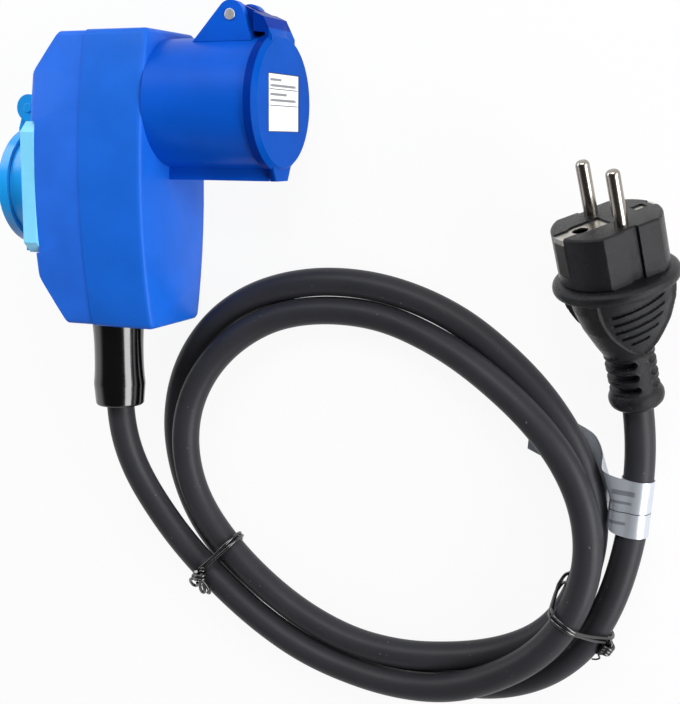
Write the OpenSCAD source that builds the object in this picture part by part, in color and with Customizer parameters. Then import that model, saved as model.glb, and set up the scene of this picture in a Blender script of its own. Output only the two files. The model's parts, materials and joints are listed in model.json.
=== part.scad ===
// Power adapter cable: a two-part head with a lidded round socket at its front and a lidded
// mains socket at its rear, a round cable tied in a flat coil, and a moulded earthed plug.
// The head lies on its side. X points out of the round socket, the cable leaves towards -Y.

/* [Head] */
// Height of the head, from its cable end to its top
head_h = 112; // [108:1:130]
// Width of the head where its sides bulge most
head_w = 51; // [50.6:0.2:58]
// Width of the head at its top and at its cable end
head_end_w = 37; // [36:0.5:44]
// Depth of the front half, from the seam to the front face
front_depth = 26.5; // [24:0.5:32]
// Depth of the rear half, from the seam to the rear face
rear_depth = 22.5; // [21:0.5:28]
// Distance from the top of the head down to the round socket's axis
axis_below_top = 27; // [26.5:0.5:32]
// Thickness of the head's walls
wall = 2.5; // [2:0.1:3]
// Rounding of the front and rear edges
edge_r = 2; // [1:0.25:3]
// Rounding of the outline's corners
corner_r = 3; // [2.6:0.2:5]
// Depth of the slopes at the two ends of the rear half
slope_depth = 11; // [9:0.5:12]
// Height of the slope at the top of the rear half
top_slope_h = 17; // [13:0.5:17]
// Height of the slope at the cable end of the rear half
bottom_slope_h = 20.5; // [19:0.5:25]
// How far the front half stands proud of the rear half at the seam
seam_step = 0.4; // [0.2:0.1:0.8]

/* [Head screws] */
// Radius of the screws' shanks
screw_r = 1.4; // [1.2:0.1:1.6]
// Radius of the screws' heads
screw_head_r = 2.8; // [2.4:0.1:3]
// Radius of the bosses that take the screws
boss_r = 3.3; // [3:0.1:3.6]
// Distance of the upper screws above the round socket's axis
top_screw_y = 20.5; // [20:0.25:20.75]
// Distance of the lower screws above the head's cable end
bottom_screw_y = 8; // [7:0.5:9]
// Half the spacing of the screws across the head
screw_z = 12.5; // [12:0.25:13]

/* [Round socket] */
// Outer radius of the sleeve
sleeve_r = 24; // [23.5:0.25:24.5]
// Thickness of the sleeve
sleeve_wall = 2; // [1.6:0.1:2.2]
// Length of the sleeve in front of the head
sleeve_l = 41.5; // [41:0.5:46]
// Radius of the contact carrier's nose
nose_r = 17.5; // [17:0.1:17.6]
// Distance from the nose's face back to the sleeve's mouth
nose_back = 5; // [4.6:0.2:8]
// Radius of the circle that the three contacts stand on
contact_circle_r = 9.5; // [9:0.1:9.8]
// Radius of the line and neutral contacts' bores
contact_bore_r = 2.55; // [2.4:0.05:2.7]
// Radius of the earth contact's bore
earth_bore_r = 3.55; // [3.4:0.05:3.7]
// Depth of the contacts' bores
contact_bore_l = 26; // [22:1:28]
// Width of the key rib under the sleeve
key_w = 8; // [7:0.5:10]
// Distance from the socket's axis to the foot of the key rib
key_reach = 28.5; // [27.5:0.25:30]

/* [Round lid] */
// How far the lid's rim stands out past the sleeve
lid_rim = 1.2; // [1:0.1:1.4]
// Thickness of the lid
lid_t = 4.7; // [4.4:0.1:6]
// Width of the lid's bevelled edge
lid_bevel = 1.8; // [1:0.2:2.4]
// Distance of the hinge pin behind the sleeve's mouth
hinge_back = 12; // [11.5:0.25:13]
// Distance of the hinge pin above the socket's axis
hinge_up = 31.3; // [31:0.1:32]
// Radius of the hinge pin
hinge_pin_r = 1.5; // [1.2:0.1:1.8]
// Radius of the hinge hump around the pin
hump_r = 5.2; // [5.1:0.1:5.6]
// Width of the hinge hump
hump_w = 20; // [18:0.5:22]
// Width of the slot in the hump for the lid's knuckle
hump_slot_w = 12.4; // [11.5:0.2:13]
// Width of the white label on the lid
label_w = 27; // [22:1:30]
// Height of the white label on the lid
label_h = 21; // [16:1:24]

/* [Mains socket] */
// Distance from the sides of the head to the edges of the square flange
flange_inset = 0.5; // [0.3:0.1:1]
// Thickness of the flange
flange_t = 6; // [5.5:0.25:7]
// Depth of the recess that the flange sits in
recess_d = 2.5; // [2:0.25:3]
// Distance of the socket's axis below the round socket's axis
mains_below = 32; // [31:0.25:32.5]
// Outer radius of the collar
collar_r = 21.5; // [21.3:0.1:21.8]
// Radius of the well
well_r = 19.6; // [19.5:0.1:19.8]
// Height of the collar above the flange
collar_h = 8.2; // [7.5:0.1:9]
// Depth of the well from the collar's mouth
well_d = 17.2; // [17:0.1:17.8]
// Thickness of the well's floor
well_floor_t = 4; // [3.5:0.25:4.5]
// Distance between the two mains contacts
pin_pitch = 19; // [18.8:0.1:19.2]
// Radius of the mains contacts' bores
mains_bore_r = 2.5; // [2.45:0.05:2.6]
// How far the mains lid's rim stands out past the collar
mains_lid_rim = 1.5; // [1.1:0.1:1.8]
// Thickness of the mains lid
mains_lid_t = 4.9; // [4.4:0.1:5.5]
// Distance between the fixing screws
fixing_pitch = 38; // [37.5:0.1:38.4]
// Distance of the mains hinge pin above the flange's edge
mains_hinge_over = 5.3; // [4.6:0.1:5.6]
// Height of the mains hinge pin above the flange
mains_hinge_out = 5.4; // [5.3:0.1:6]

/* [Cable] */
// Diameter of the cable
cable_d = 11; // [10.8:0.1:11.4]
// Length of the bend sleeve outside the head
bend_sleeve_l = 34; // [30:0.5:35]
// Radius of the bend sleeve where it meets the head
bend_sleeve_r = 10.4; // [9.4:0.1:11]
// Radius of the wire ties
tie_r = 0.9; // [0.7:0.05:0.9]
// Width of the flag label along the cable
flag_w = 21; // [15:1:24]

/* [Plug] */
// Radius of the plug's face
plug_r = 18.7; // [18.4:0.1:19.2]
// Distance from the plug's axis to the two flats on its sides
plug_flat = 15.5; // [15:0.1:16.5]
// Depth of the plug's body in front of its collar
plug_body_l = 18.5; // [18:0.5:22]
// Radius of the plug's collar
plug_collar_r = 21.7; // [21:0.1:23]
// Thickness of the plug's collar
plug_collar_t = 5; // [4:0.25:6]
// Length of the grip behind the collar
grip_l = 25.5; // [22:0.5:28]
// Length of the slotted strain relief
relief_l = 14.5; // [13:0.5:18]
// Radius of the strain relief
relief_r = 8.7; // [8.4:0.1:9.2]
// Radius of the plug's tail ring
tail_r = 9.9; // [9.6:0.1:11]
// Thickness of the plug's tail ring
tail_t = 7; // [6:0.25:8]
// Radius of the plug's pins
plug_pin_r = 2.4; // [2:0.05:2.4]
// Length of the plug's pins
plug_pin_l = 19; // [17:0.5:21]

/* [Hidden] */
$fn = 64;

// Clearances: a slip fit, a pin's running fit, a gap between moving pieces, a cut's overrun
slip = 0.1;
run = 0.05;
gap = 0.3;
over = 1;
slice_t = 0.01;

// Colours of the mouldings and metals
front_blue = [0.03, 0.30, 0.80];
rear_blue = [0.10, 0.36, 0.84];
pale_blue = [0.10, 0.62, 0.93];
dark_grey = [0.13, 0.13, 0.14];
black = [0.06, 0.06, 0.07];
nickel = [0.78, 0.77, 0.74];
brass = [0.80, 0.66, 0.33];
steel = [0.72, 0.73, 0.75];

// Head
head_d = front_depth + rear_depth;
head_bottom = axis_below_top - head_h;
head_mid_y = axis_below_top - head_h / 2;
side_bow = (head_w - head_end_w) / 2;
side_r = (pow(head_h / 2, 2) + pow(side_bow, 2)) / (2 * side_bow);
cavity_end = head_d - recess_d - wall;
edge_steps = [0, 30, 60, 90];
screw_places = [for (z = [-1, 1], y = [top_screw_y, head_bottom + bottom_screw_y]) [y, z * screw_z]];
screw_seat_x = -(head_d - slope_depth) + 1;
screw_head_t = 2.2;
screw_l = 20;

// Round socket
bore_r = sleeve_r - sleeve_wall;
floor_t = 3;
spigot_r = nose_r + 1.7;
carrier_flange_t = 3.5;
carrier_flange_r = spigot_r + 1.1;
carrier_lug_y = 22;
carrier_lug_r = 2.3;
carrier_screw_r = 1.1;
carrier_screw_bite = wall - 0.3;
nose_l = sleeve_l - nose_back;
contact_mouth = nose_l - 8;
contact_wall = 0.9;
contact_tail = 9;
contact_tail_r = 2.4;
line_angle = 30;
neutral_angle = 150;
earth_angle = -90;
keyway_w = 5;
keyway_depth = 4.3;

// Round lid, its hinge and its seal
lid_x = sleeve_l + gap;
lid_r = sleeve_r + lid_rim;
seal_in_r = bore_r - 1;
seal_out_r = sleeve_r + lid_rim / 2;
seal_t = 1.4;
seal_gap = 0.15;
hinge_x = sleeve_l - hinge_back;
knuckle_r = hump_r - 0.6;
knuckle_w = hump_slot_w - 2 * gap;
arm_front_x = hinge_x + hump_r + 4;
arm_foot_y = lid_r - 0.4;
arm_nose = [lid_x + 1, hinge_up - 1];
tab_t = lid_t - seal_t - 1;
spring_w = 5.4;
spring_sweep_r = 8;
spring_clear = 1.1;
spring_wire_r = 0.45;
spring_turns = 3;
spring_coil_w = spring_w - 2;
spring_leg_l = 5;
spring_leg_turn = 90;
round_leg_at = 200;
mains_leg_at = 20;
rivet_rim = 0.6;
rivet_t = 0.6;
lid_skin_t = 2.2;
tab_root_w = 17;
tab_end_w = 10;
label_t = 0.3;
label_recess = 0.5;
hump_foot_back = hinge_x - 15.5;
hump_foot_front = sleeve_l - 3.5;

// Mains socket, measured outwards from the recess floor in the rear half
mains_y = -mains_below;
flange_w = head_w - 2 * flange_inset;
mains_hinge_up = flange_w / 2 + mains_hinge_over;
collar_top = flange_t + collar_h;
well_floor = collar_top - well_d;
insert_back = well_floor - well_floor_t;
mains_spigot_r = collar_r - 0.5;
insert_r = (mains_spigot_r + well_r) / 2;
flange_corner = 4;
mains_contact_l = 16;
mains_contact_r = mains_bore_r + 0.9;
mains_tail_l = 3;
tower_r = mains_contact_r + 1.4;
tower_l = 13;
clip_at = well_r - 2.4;
clip_w = 5;
clip_t = 0.8;
clip_h = 10;
mains_lid_w = collar_top + gap;
mains_lid_r = collar_r + mains_lid_rim;
mains_hinge_w = flange_t + mains_hinge_out;
mains_ear_r = 5.3;
mains_ear_t = 3;
mains_knuckle_r = mains_ear_r - 1.1;
mains_knuckle_w = 16.8;
mains_pin_r = 1.2;
mains_tab_w = 12;
mains_tab_l = 3;
mains_lid_edge = 1;
mains_tab_t = mains_lid_t - seal_t - mains_lid_edge;
mains_seal_in_r = well_r - 1;
mains_seal_out_r = collar_r + 0.6 * mains_lid_rim;
mains_screw_r = 1.2;
mains_screw_head_r = 2.4;
mains_screw_l = 13;
mains_boss_r = 2.8;
mains_boss_l = 8;

// Cable entry: clamp, inner wires and bend sleeve, whose profile gives shares of its length and
// changes of its radius
cable_r = cable_d / 2;
cable_x = -front_depth;
clamp_up = 22;
clamp_y = head_bottom + clamp_up;
clamp_w = 8;
cable_end_y = clamp_y + 0.75 * clamp_w;
clamp_bar_x = cable_x - cable_r + 1.7;
clamp_bar_t = 6.4;
clamp_post_z = cable_r + 4.3;
clamp_post_r = 3;
clamp_screw_r = 1.25;
clamp_screw_head_r = 2.6;
clamp_screw_head_t = 2;
clamp_screw_l = 16;
saddle_top = cable_x + 3.5;
bend_neck_r = bend_sleeve_r - 2.2;
bend_flange_r = bend_neck_r + 0.7;
bend_flange_t = 2;
bend_profile = [[0, 0], [0.3, -0.6], [0.5, -0.6], [0.75, -0.1], [0.97, -0.7], [1, -1.5]];
wire_r = 1.3;
wire_sides = 8;
wire_spread = 2.8;
wire_beside = wire_r + slip;
wire_lead = 3;
wire_turn = 5;
wire_rise = 10;
wire_out_z = 14;
wire_up = [0, 0.3, 1];
mains_tail_x = -(head_d - recess_d) - insert_back + mains_contact_l + mains_tail_l;
clip_bridge_x = -(head_d - recess_d) - insert_back + clip_t;
clip_wire_y = mains_y + clip_at / 2;

// Placing of the head: the middle of its box stands over the origin
head_front_x = lid_x + lid_t;
head_back_x = -(head_d - recess_d) - mains_lid_w - mains_lid_t;
head_top_y = hinge_up + hump_r;
head_low_y = head_bottom - bend_sleeve_l;
place = [-(head_front_x + head_back_x) / 2, -(head_top_y + head_low_y) / 2, head_w / 2];

// Plug, measured from its tail; its tail ring touches the floor and the stiff cable holds its collar
// a little above it. The grip's profile gives shares of its length and radii.
plug_relief_at = tail_t;
plug_grip_at = tail_t + relief_l;
plug_collar_at = plug_grip_at + grip_l;
plug_body_at = plug_collar_at + plug_collar_t;
plug_l = plug_body_at + plug_body_l;
plug_tilt = 18;
plug_azimuth = 99;
plug_roll = 39;
plug_tail_z = tail_r * cos(plug_tilt);
plug_tail = [186.7, -63.5, plug_tail_z];
plug_axis = [cos(plug_tilt) * cos(plug_azimuth), cos(plug_tilt) * sin(plug_azimuth), sin(plug_tilt)];
plug_bore_d = 5;
plug_edge = 1;
grip_profile = [[0, relief_r], [0.18, relief_r + 1.8], [0.47, relief_r + 4.8], [0.76, plug_r - 2.9],
                [1, plug_r - 2]];
relief_slots = 3;
relief_slot_w = 2.5;
relief_web_w = 5;
relief_core_r = cable_r + 0.6;
earth_hole_r = 2.6;
earth_hole_d = 15;
earth_hole_y = 10;
bracket_w = 6;
bracket_t = 0.8;
bracket_depth = 0.6;
bracket_z = plug_l - bracket_depth - bracket_t;
plate_w = 8.6;
plate_from = 0.8;
window_from = 10.5;
window_l = 4.5;
window_w = 4;
bracket_leg_l = 14;
bracket_leg_at = plug_r - 1;
guide_w = 5;
guide_d = 1.3;
pin_shank_r = plug_pin_r - 0.4;
pin_shank_l = plug_body_l / 2;
pin_tip_l = 1;

// The cable's route: out of the head, two and a half turns, and into the plug
cable_sides = 10;
cable_route = concat(
    [place + [cable_x, cable_end_y, 0], place + [cable_x, clamp_y, 0],
     place + [cable_x, head_bottom, 0], place + [cable_x, head_low_y, 0]],
    [[-15.3, -93, 24.5], [-10.9, -107, 22.5], [-2.7, -121.2, 20.5], [7.8, -135.1, 18.8],
     [23.3, -149.6, 18], [42.4, -163.5, 17.6], [64, -174, 17.8], [88, -179.8, 17.7], [107, -180.8, 18],
     [124, -177.8, 19.4], [139, -171, 20.4], [153.8, -161, 20.6], [165, -147.6, 20.4],
     [171.6, -131.4, 19.6], [173.3, -115.5, 19], [170, -99, 18.6], [162, -83.9, 18.2],
     [150.6, -70.9, 17.4], [137.7, -60.7, 15.4], [123.3, -51.9, 12.5], [106.8, -45.2, 8.2],
     [86.3, -39.4, 5.8], [62, -38, 5.8], [40.4, -43.2, 8], [22, -56, 12.6], [11, -74, 15.6],
     [8, -94, 17], [13, -114, 17.8], [25, -131, 18.2], [42, -147, 17.6], [62, -159.6, 17.2],
     [84, -167.2, 17.1], [106, -168.8, 16.7], [116, -168.1, 14.9], [126, -167.6, 12], [142, -163.6, 8.8],
     [156.8, -154.6, 8.2], [166.5, -141, 7.8], [171.4, -125, 6.8], [172.6, -109, 6.3],
     [168.6, -92, 6.3], [160.2, -75.8, 6.3], [148.8, -61.4, 6.2], [134.5, -48.8, 5.8],
     [118.3, -37.8, 5.8], [98.2, -29.8, 5.8], [78, -26.2, 5.8], [56, -27, 5.8], [34, -33.5, 5.8],
     [16, -46, 5.8], [3, -65, 5.8], [-2, -87, 5.8], [1, -108, 6.2], [10, -127, 7.4], [24, -142, 8.2],
     [43, -156, 7.2], [64, -168, 6.5], [88, -176.5, 6.4], [112, -181, 6.4], [136, -180, 6.6],
     [157, -171, 7.6], [172, -156, 8.2], [181, -136.5, 7.4], [186.2, -113, 6.4], [187.9, -91, 6.4],
     [188, -79, 6.8]],
    [plug_tail, plug_tail + plug_axis * (plug_bore_d - slip)]
);

// Ties: centre, direction across the strands, and each strand's offset and height
tie_w = 2.6;
tie_slack = 0.5;
left_tie_at = [23.5, -142, 0];
left_tie_across = 46;
left_tie_strands = [[-6, 18.2], [0.3, 8.2], [8.7, 18.1]];
right_tie_at = [166, -149, 0];
right_tie_across = -28;
right_tie_strands = [[-1.7, 20.4], [-4.3, 8.2], [8.9, 8.2]];
knot_l = 9;
knot_wave = 1;
knot_drop = 5;

// Flag label: its place on the cable, the cable's direction there, and the run of its loose strip
flag_at = [187, -102, 6.4];
flag_along = [0.073, 0.997, 0];
flag_t = 0.3;
flag_slack = 0.25;
flag_strip = [[184.9, -102, 12.1], [182.3, -100.8, 12.3], [180.2, -99.4, 10.8], [179.5, -97.8, 7.2],
              [179, -95.4, 3.4], [177, -91.8, 0.9], [173, -88.4, 0.25], [166, -84.8, 0.2],
              [158.5, -81.1, 0.2], [151.5, -78, 0.2]];

function unit(v) = v / norm(v);
function tangent(path, i) = unit(path[min(i + 1, len(path) - 1)] - path[max(i - 1, 0)]);
function ring(path, i, r, sides, up) =
    let (t = tangent(path, i), a = unit(cross(t, up)), b = cross(a, t))
    [for (k = [0:sides - 1]) path[i] + r * (a * cos(360 * k / sides) + b * sin(360 * k / sides))];
function swept_points(path, r, sides, up) =
    [for (i = [0:len(path) - 1]) each ring(path, i, r, sides, up)];
function swept_faces(rings, sides) = concat(
    [[for (k = [0:sides - 1]) sides - 1 - k]],
    [[for (k = [0:sides - 1]) (rings - 1) * sides + k]],
    [for (i = [0:rings - 2], k = [0:sides - 1], half = [0, 1])
        let (a = i * sides + k, b = i * sides + (k + 1) % sides)
        half == 0 ? [a, b, b + sides] : [a, b + sides, a + sides]]
);
// Cut at a sloped end: its share of the slope's height, plus what a wall of thickness t takes
function slope_cut(h, d, t) = h / slope_depth * d + t * (sqrt(1 + pow(h / slope_depth, 2)) - 1);
// Place, measured from the slope's start, where the line t inside the slope leaves the head's end
function slope_start(h, t) = -(t + over + slope_cut(h, 0, t)) * slope_depth / h;
function on_circle(r, angle) = [r * sin(angle), r * cos(angle)];

module swept(path, r, sides, up = [0, 0, 1])
    polyhedron(swept_points(path, r, sides, up), swept_faces(len(path), sides));

// Frames: the head's own, pieces along its X axis, outlines across it, and along the cable's entry
module in_head() translate(place) children();
module along_x(x, y = 0, z = 0) translate([x, y, z]) rotate([0, 90, 0]) children();
module across_x(x) translate([x, 0, 0]) rotate([90, 0, 90]) children();
module along_entry() translate([cable_x, head_bottom, 0]) rotate([90, 0, 0]) children();
module on_mains() translate([-head_d + recess_d, mains_y, 0]) rotate([0, -90, 0]) children();
module in_plug() translate(plug_tail) rotate([0, 90 - plug_tilt, plug_azimuth]) rotate(plug_roll) children();

module tube(r_out, r_in, l)
    difference() {
        cylinder(r = r_out, h = l);
        translate([0, 0, -over]) cylinder(r = r_in, h = l + 2 * over);
    }

// Head outline across X: bulged sides, straight ends, rounded corners
module head_outline(inset) {
    r = max(corner_r - inset, corner_r / 4);
    offset(r = r, $fn = 24) offset(delta = -r)
        intersection() {
            translate([head_mid_y, side_r - head_w / 2]) circle(r = side_r - inset, $fn = 144);
            translate([head_mid_y, head_w / 2 - side_r]) circle(r = side_r - inset, $fn = 144);
            translate([head_bottom + inset, -head_w]) square([head_h - 2 * inset, 2 * head_w]);
        }
}

module head_slice(x, inset) across_x(x) linear_extrude(slice_t) head_outline(inset);

// One half of the head, from the seam at x = 0 to its rounded face at x = depth
module half_solid(depth, inset)
    hull() {
        head_slice(0, inset);
        for (a = edge_steps)
            head_slice(depth - edge_r * (1 - sin(a)) - slice_t, inset + edge_r * (1 - cos(a)));
    }

// Side view of the rear half with its two slopes, drawn t inside its surface and cut off at depth d
module rear_profile(t, d) {
    front = -front_depth + over;
    back = -(head_d - slope_depth) - d;
    top = axis_below_top + over;
    bottom = head_bottom - over;
    polygon([[front, top], [-(head_d - slope_depth) - slope_start(top_slope_h, t), top],
             [back, axis_below_top - t - slope_cut(top_slope_h, d, t)],
             [back, head_bottom + t + slope_cut(bottom_slope_h, d, t)],
             [-(head_d - slope_depth) - slope_start(bottom_slope_h, t), bottom], [front, bottom]]);
}

module rear_solid()
    intersection() {
        translate([-front_depth, 0, 0]) mirror([1, 0, 0]) half_solid(rear_depth, seam_step);
        translate([0, 0, -head_w]) linear_extrude(2 * head_w) rear_profile(0, slope_depth + over);
    }

module rear_cavity()
    intersection() {
        across_x(-head_d) linear_extrude(rear_depth + over) head_outline(wall);
        translate([0, 0, -head_w]) linear_extrude(2 * head_w)
            rear_profile(wall, cavity_end - (head_d - slope_depth));
    }

module at_screws(x) for (p = screw_places) along_x(x, p[0], p[1]) children();

module entry_hole()
    along_entry() translate([0, 0, -wall - over]) cylinder(r = bend_neck_r + slip, h = wall + 2 * over);

module at_clamp_screws(x)
    for (side = [-1, 1]) along_x(x, clamp_y, side * clamp_post_z) children();

module cable_groove()
    translate([cable_x, clamp_y, 0]) rotate([90, 0, 0])
        cylinder(r = cable_r + slip, h = clamp_w + 2 * over, center = true);

module front_shell()
    color(front_blue) in_head() difference() {
        union() {
            difference() {
                translate([-front_depth, 0, 0]) half_solid(front_depth, 0);
                across_x(-front_depth - over) linear_extrude(front_depth - wall + over) head_outline(wall);
            }
            at_screws(-front_depth) cylinder(r = boss_r, h = front_depth - wall / 2);
            at_clamp_screws(clamp_bar_x) cylinder(r = clamp_post_r, h = -clamp_bar_x - wall / 2);
            translate([saddle_top, clamp_y - clamp_w / 2, -clamp_post_z])
                cube([-saddle_top - wall / 2, clamp_w, 2 * clamp_post_z]);
        }
        along_x(-wall - over) cylinder(r = spigot_r + slip, h = wall + 2 * over);
        for (side = [-1, 1])
            along_x(-wall - over, side * carrier_lug_y)
                cylinder(r = carrier_screw_r + run, h = carrier_screw_bite + over + run);
        at_screws(-front_depth - over)
            cylinder(r = screw_r + run, h = screw_seat_x + screw_l + front_depth + 2 * over);
        at_clamp_screws(clamp_bar_x - over) cylinder(r = clamp_screw_r + run, h = clamp_screw_l);
        cable_groove();
        entry_hole();
    }

module rear_shell()
    color(rear_blue) in_head() difference() {
        rear_solid();
        difference() {
            rear_cavity();
            at_screws(-head_d) cylinder(r = boss_r, h = rear_depth);
            at_fixings(-mains_boss_l) cylinder(r = mains_boss_r, h = mains_boss_l);
        }
        translate([-head_d - over, mains_y - flange_w / 2 - slip, -head_w])
            cube([recess_d + over, flange_w + 2 * slip, 2 * head_w]);
        on_mains() translate([0, 0, -wall - over]) cylinder(r = mains_spigot_r + slip, h = wall + 2 * over);
        at_fixings(-mains_boss_l - over) cylinder(r = mains_screw_r + run, h = mains_boss_l + 2 * over);
        at_screws(-head_d - over) cylinder(r = screw_head_r + gap, h = screw_seat_x + head_d + over);
        at_screws(-head_d) cylinder(r = screw_r + gap, h = head_d);
        entry_hole();
    }

module shell_screws()
    color(steel) in_head() {
        at_screws(screw_seat_x - screw_head_t) cylinder(r = screw_head_r, h = screw_head_t);
        at_screws(screw_seat_x - screw_head_t / 2) cylinder(r = screw_r, h = screw_l + screw_head_t / 2);
    }

// Hinge hump over the sleeve, seen along the pin
module hump_profile()
    hull() {
        translate([hinge_x, hinge_up]) circle(r = hump_r, $fn = 32);
        translate([hump_foot_back, bore_r]) square([hump_foot_front - hump_foot_back, slice_t]);
    }

module round_sleeve()
    color(front_blue) in_head() difference() {
        union() {
            along_x(0) cylinder(r = sleeve_r, h = sleeve_l);
            along_x(-wall) cylinder(r = spigot_r, h = wall + floor_t / 2);
            translate([0, -key_reach, -key_w / 2]) cube([sleeve_l, key_reach - bore_r, key_w]);
            translate([0, 0, -hump_w / 2]) linear_extrude(hump_w) hump_profile();
        }
        along_x(floor_t) cylinder(r = bore_r, h = sleeve_l);
        along_x(-wall - over) cylinder(r = nose_r + gap, h = wall + floor_t + 2 * over);
        translate([floor_t, -bore_r - keyway_depth, -keyway_w / 2])
            cube([sleeve_l, keyway_depth + sleeve_wall, keyway_w]);
        translate([hinge_x - hump_r - over, sleeve_r + gap, -hump_slot_w / 2])
            cube([sleeve_l, hinge_up, hump_slot_w]);
        translate([hinge_x, hinge_up, -hump_w]) cylinder(r = hinge_pin_r + run, h = 2 * hump_w);
    }

module at_contact(x, angle)
    let (p = on_circle(contact_circle_r, angle)) along_x(x, p[0], p[1]) children();

module contact_hole(bore, angle) {
    at_contact(-carrier_flange_t - wall - over, angle)
        cylinder(r = bore + contact_wall + run, h = contact_mouth + carrier_flange_t + wall + over);
    at_contact(0, angle) cylinder(r = bore + 2 * slip, h = nose_l + over);
}

module round_carrier()
    color(front_blue) in_head() difference() {
        union() {
            along_x(-wall - carrier_flange_t / 2)
                cylinder(r = nose_r, h = nose_l + wall + carrier_flange_t / 2);
            along_x(-wall - carrier_flange_t) cylinder(r = carrier_flange_r, h = carrier_flange_t);
            for (side = [-1, 1])
                along_x(-wall - carrier_flange_t, side * carrier_lug_y)
                    cylinder(r = carrier_lug_r, h = carrier_flange_t);
        }
        for (side = [-1, 1])
            along_x(-head_d, side * carrier_lug_y) cylinder(r = carrier_screw_r + slip, h = head_d);
        contact_hole(contact_bore_r, line_angle);
        contact_hole(contact_bore_r, neutral_angle);
        contact_hole(earth_bore_r, earth_angle);
    }

module carrier_screws()
    color(steel) in_head() for (side = [-1, 1]) {
        along_x(-wall - carrier_flange_t, side * carrier_lug_y)
            cylinder(r = carrier_screw_r, h = carrier_flange_t + carrier_screw_bite);
        along_x(-wall - carrier_flange_t - screw_head_t / 2, side * carrier_lug_y)
            cylinder(r = carrier_lug_r - slip, h = screw_head_t / 2);
    }

// Turned socket contact with a solid tail for its wire
module round_contact(bore, angle)
    color(brass) in_head() difference() {
        union() {
            at_contact(-carrier_flange_t - wall, angle)
                cylinder(r = bore + contact_wall, h = contact_mouth + carrier_flange_t + wall);
            at_contact(-contact_tail, angle) cylinder(r = contact_tail_r, h = contact_tail);
        }
        at_contact(contact_mouth - contact_bore_l, angle) cylinder(r = bore, h = contact_bore_l + over);
    }

module round_contact_line() round_contact(contact_bore_r, line_angle);
module round_contact_neutral() round_contact(contact_bore_r, neutral_angle);
module round_contact_earth() round_contact(earth_bore_r, earth_angle);

// Arm from the lid up to its knuckle, and the wide part in front of the hump's ears
module lid_arm_profile() {
    hull() {
        translate([hinge_x, hinge_up]) circle(r = knuckle_r, $fn = 32);
        polygon([[lid_x, arm_foot_y], [lid_x + lid_t - lid_bevel, arm_foot_y], arm_nose]);
    }
    polygon([[lid_x + seal_t + slip, seal_in_r], [lid_x + lid_t - gap, seal_in_r],
             [lid_x + lid_t - gap, lid_r - lid_bevel], arm_nose,
             [lid_x + seal_t + slip, arm_foot_y + over]]);
}

module round_lid()
    color(front_blue) in_head() difference() {
        union() {
            along_x(lid_x) rotate_extrude()
                polygon([[0, lid_skin_t + gap], [seal_in_r - slip, lid_skin_t + gap],
                         [seal_in_r - slip, seal_t], [seal_out_r + slip, seal_t],
                         [seal_out_r + slip, 0], [lid_r, 0],
                         [lid_r, lid_t - lid_bevel], [lid_r - lid_bevel, lid_t], [0, lid_t]]);
            translate([0, 0, -knuckle_w / 2]) linear_extrude(knuckle_w) lid_arm_profile();
            intersection() {
                translate([0, 0, -hump_w / 2]) linear_extrude(hump_w) lid_arm_profile();
                translate([arm_front_x, 0, -hump_w]) cube([sleeve_l, hinge_up + hump_r, 2 * hump_w]);
            }
            across_x(lid_x + seal_t + slip) linear_extrude(tab_t)
                polygon([[-bore_r, -tab_root_w / 2], [-bore_r, tab_root_w / 2],
                         [-key_reach, tab_end_w / 2], [-key_reach, -tab_end_w / 2]]);
        }
        translate([lid_x + lid_t - label_recess, -label_h / 2, -label_w / 2])
            cube([lid_t, label_h, label_w]);
        translate([hinge_x, hinge_up, -hump_w]) cylinder(r = hinge_pin_r + run, h = 2 * hump_w);
        translate([hinge_x, hinge_up, -spring_w / 2]) cylinder(r = spring_sweep_r, h = spring_w);
    }

module round_lid_seal()
    color(black) in_head() along_x(lid_x - gap + seal_gap)
        tube(seal_out_r, seal_in_r, seal_t + gap - seal_gap);

module lid_label()
    color("white") in_head()
        translate([lid_x + lid_t - label_recess, -label_h / 2 + slip, -label_w / 2 + slip])
            cube([label_t, label_h - 2 * slip, label_w - 2 * slip]);

// Hinge pin with a rivet head at each end
module rivet_pin(r, l)
    union() {
        translate([0, 0, -l / 2 - rivet_t / 2]) cylinder(r = r, h = l + rivet_t);
        for (side = [0, 1]) mirror([0, 0, side])
            translate([0, 0, l / 2]) cylinder(r = r + rivet_rim, h = rivet_t);
    }

module round_lid_pin()
    color(nickel) in_head() translate([hinge_x, hinge_up, 0])
        rivet_pin(hinge_pin_r, hump_w);

// Wound closing spring round a hinge pin: a short leg at each end
module closing_spring(r, leg_from) {
    steps = spring_turns * 12;
    turn = 360 * spring_turns + spring_leg_turn;
    leg_to = leg_from + spring_leg_turn;
    coil = [for (i = [0:steps])
        let (a = leg_from + turn * i / steps)
        [r * cos(a), r * sin(a), spring_coil_w * (i / steps - 0.5)]];
    first = coil[0] + spring_leg_l * [sin(leg_from), -cos(leg_from), 0];
    last = coil[steps] + spring_leg_l * [-sin(leg_to), cos(leg_to), 0];
    swept(concat([first], coil, [last]), spring_wire_r, wire_sides);
}

module round_lid_spring()
    color(steel) in_head() translate([hinge_x, hinge_up, 0])
        closing_spring(hinge_pin_r + spring_clear, round_leg_at);

// Mains socket pieces, in a frame whose Z points out of the socket and whose Y points up
module at_fixings(w)
    on_mains() for (u = [-1, 1], v = [-1, 1])
        translate([u * fixing_pitch / 2, v * fixing_pitch / 2, w]) children();

module chamfered_square(side, c) {
    h = side / 2;
    polygon([[-h, c - h], [c - h, -h], [h - c, -h], [h, c - h],
             [h, h - c], [h - c, h], [c - h, h], [-h, h - c]]);
}

// Profiles across the hinge pin are drawn as height above the flange's seat and distance up
module across_mains(w)
    translate([-w / 2, 0, 0]) rotate([90, 0, 90]) linear_extrude(w) children();

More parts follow.
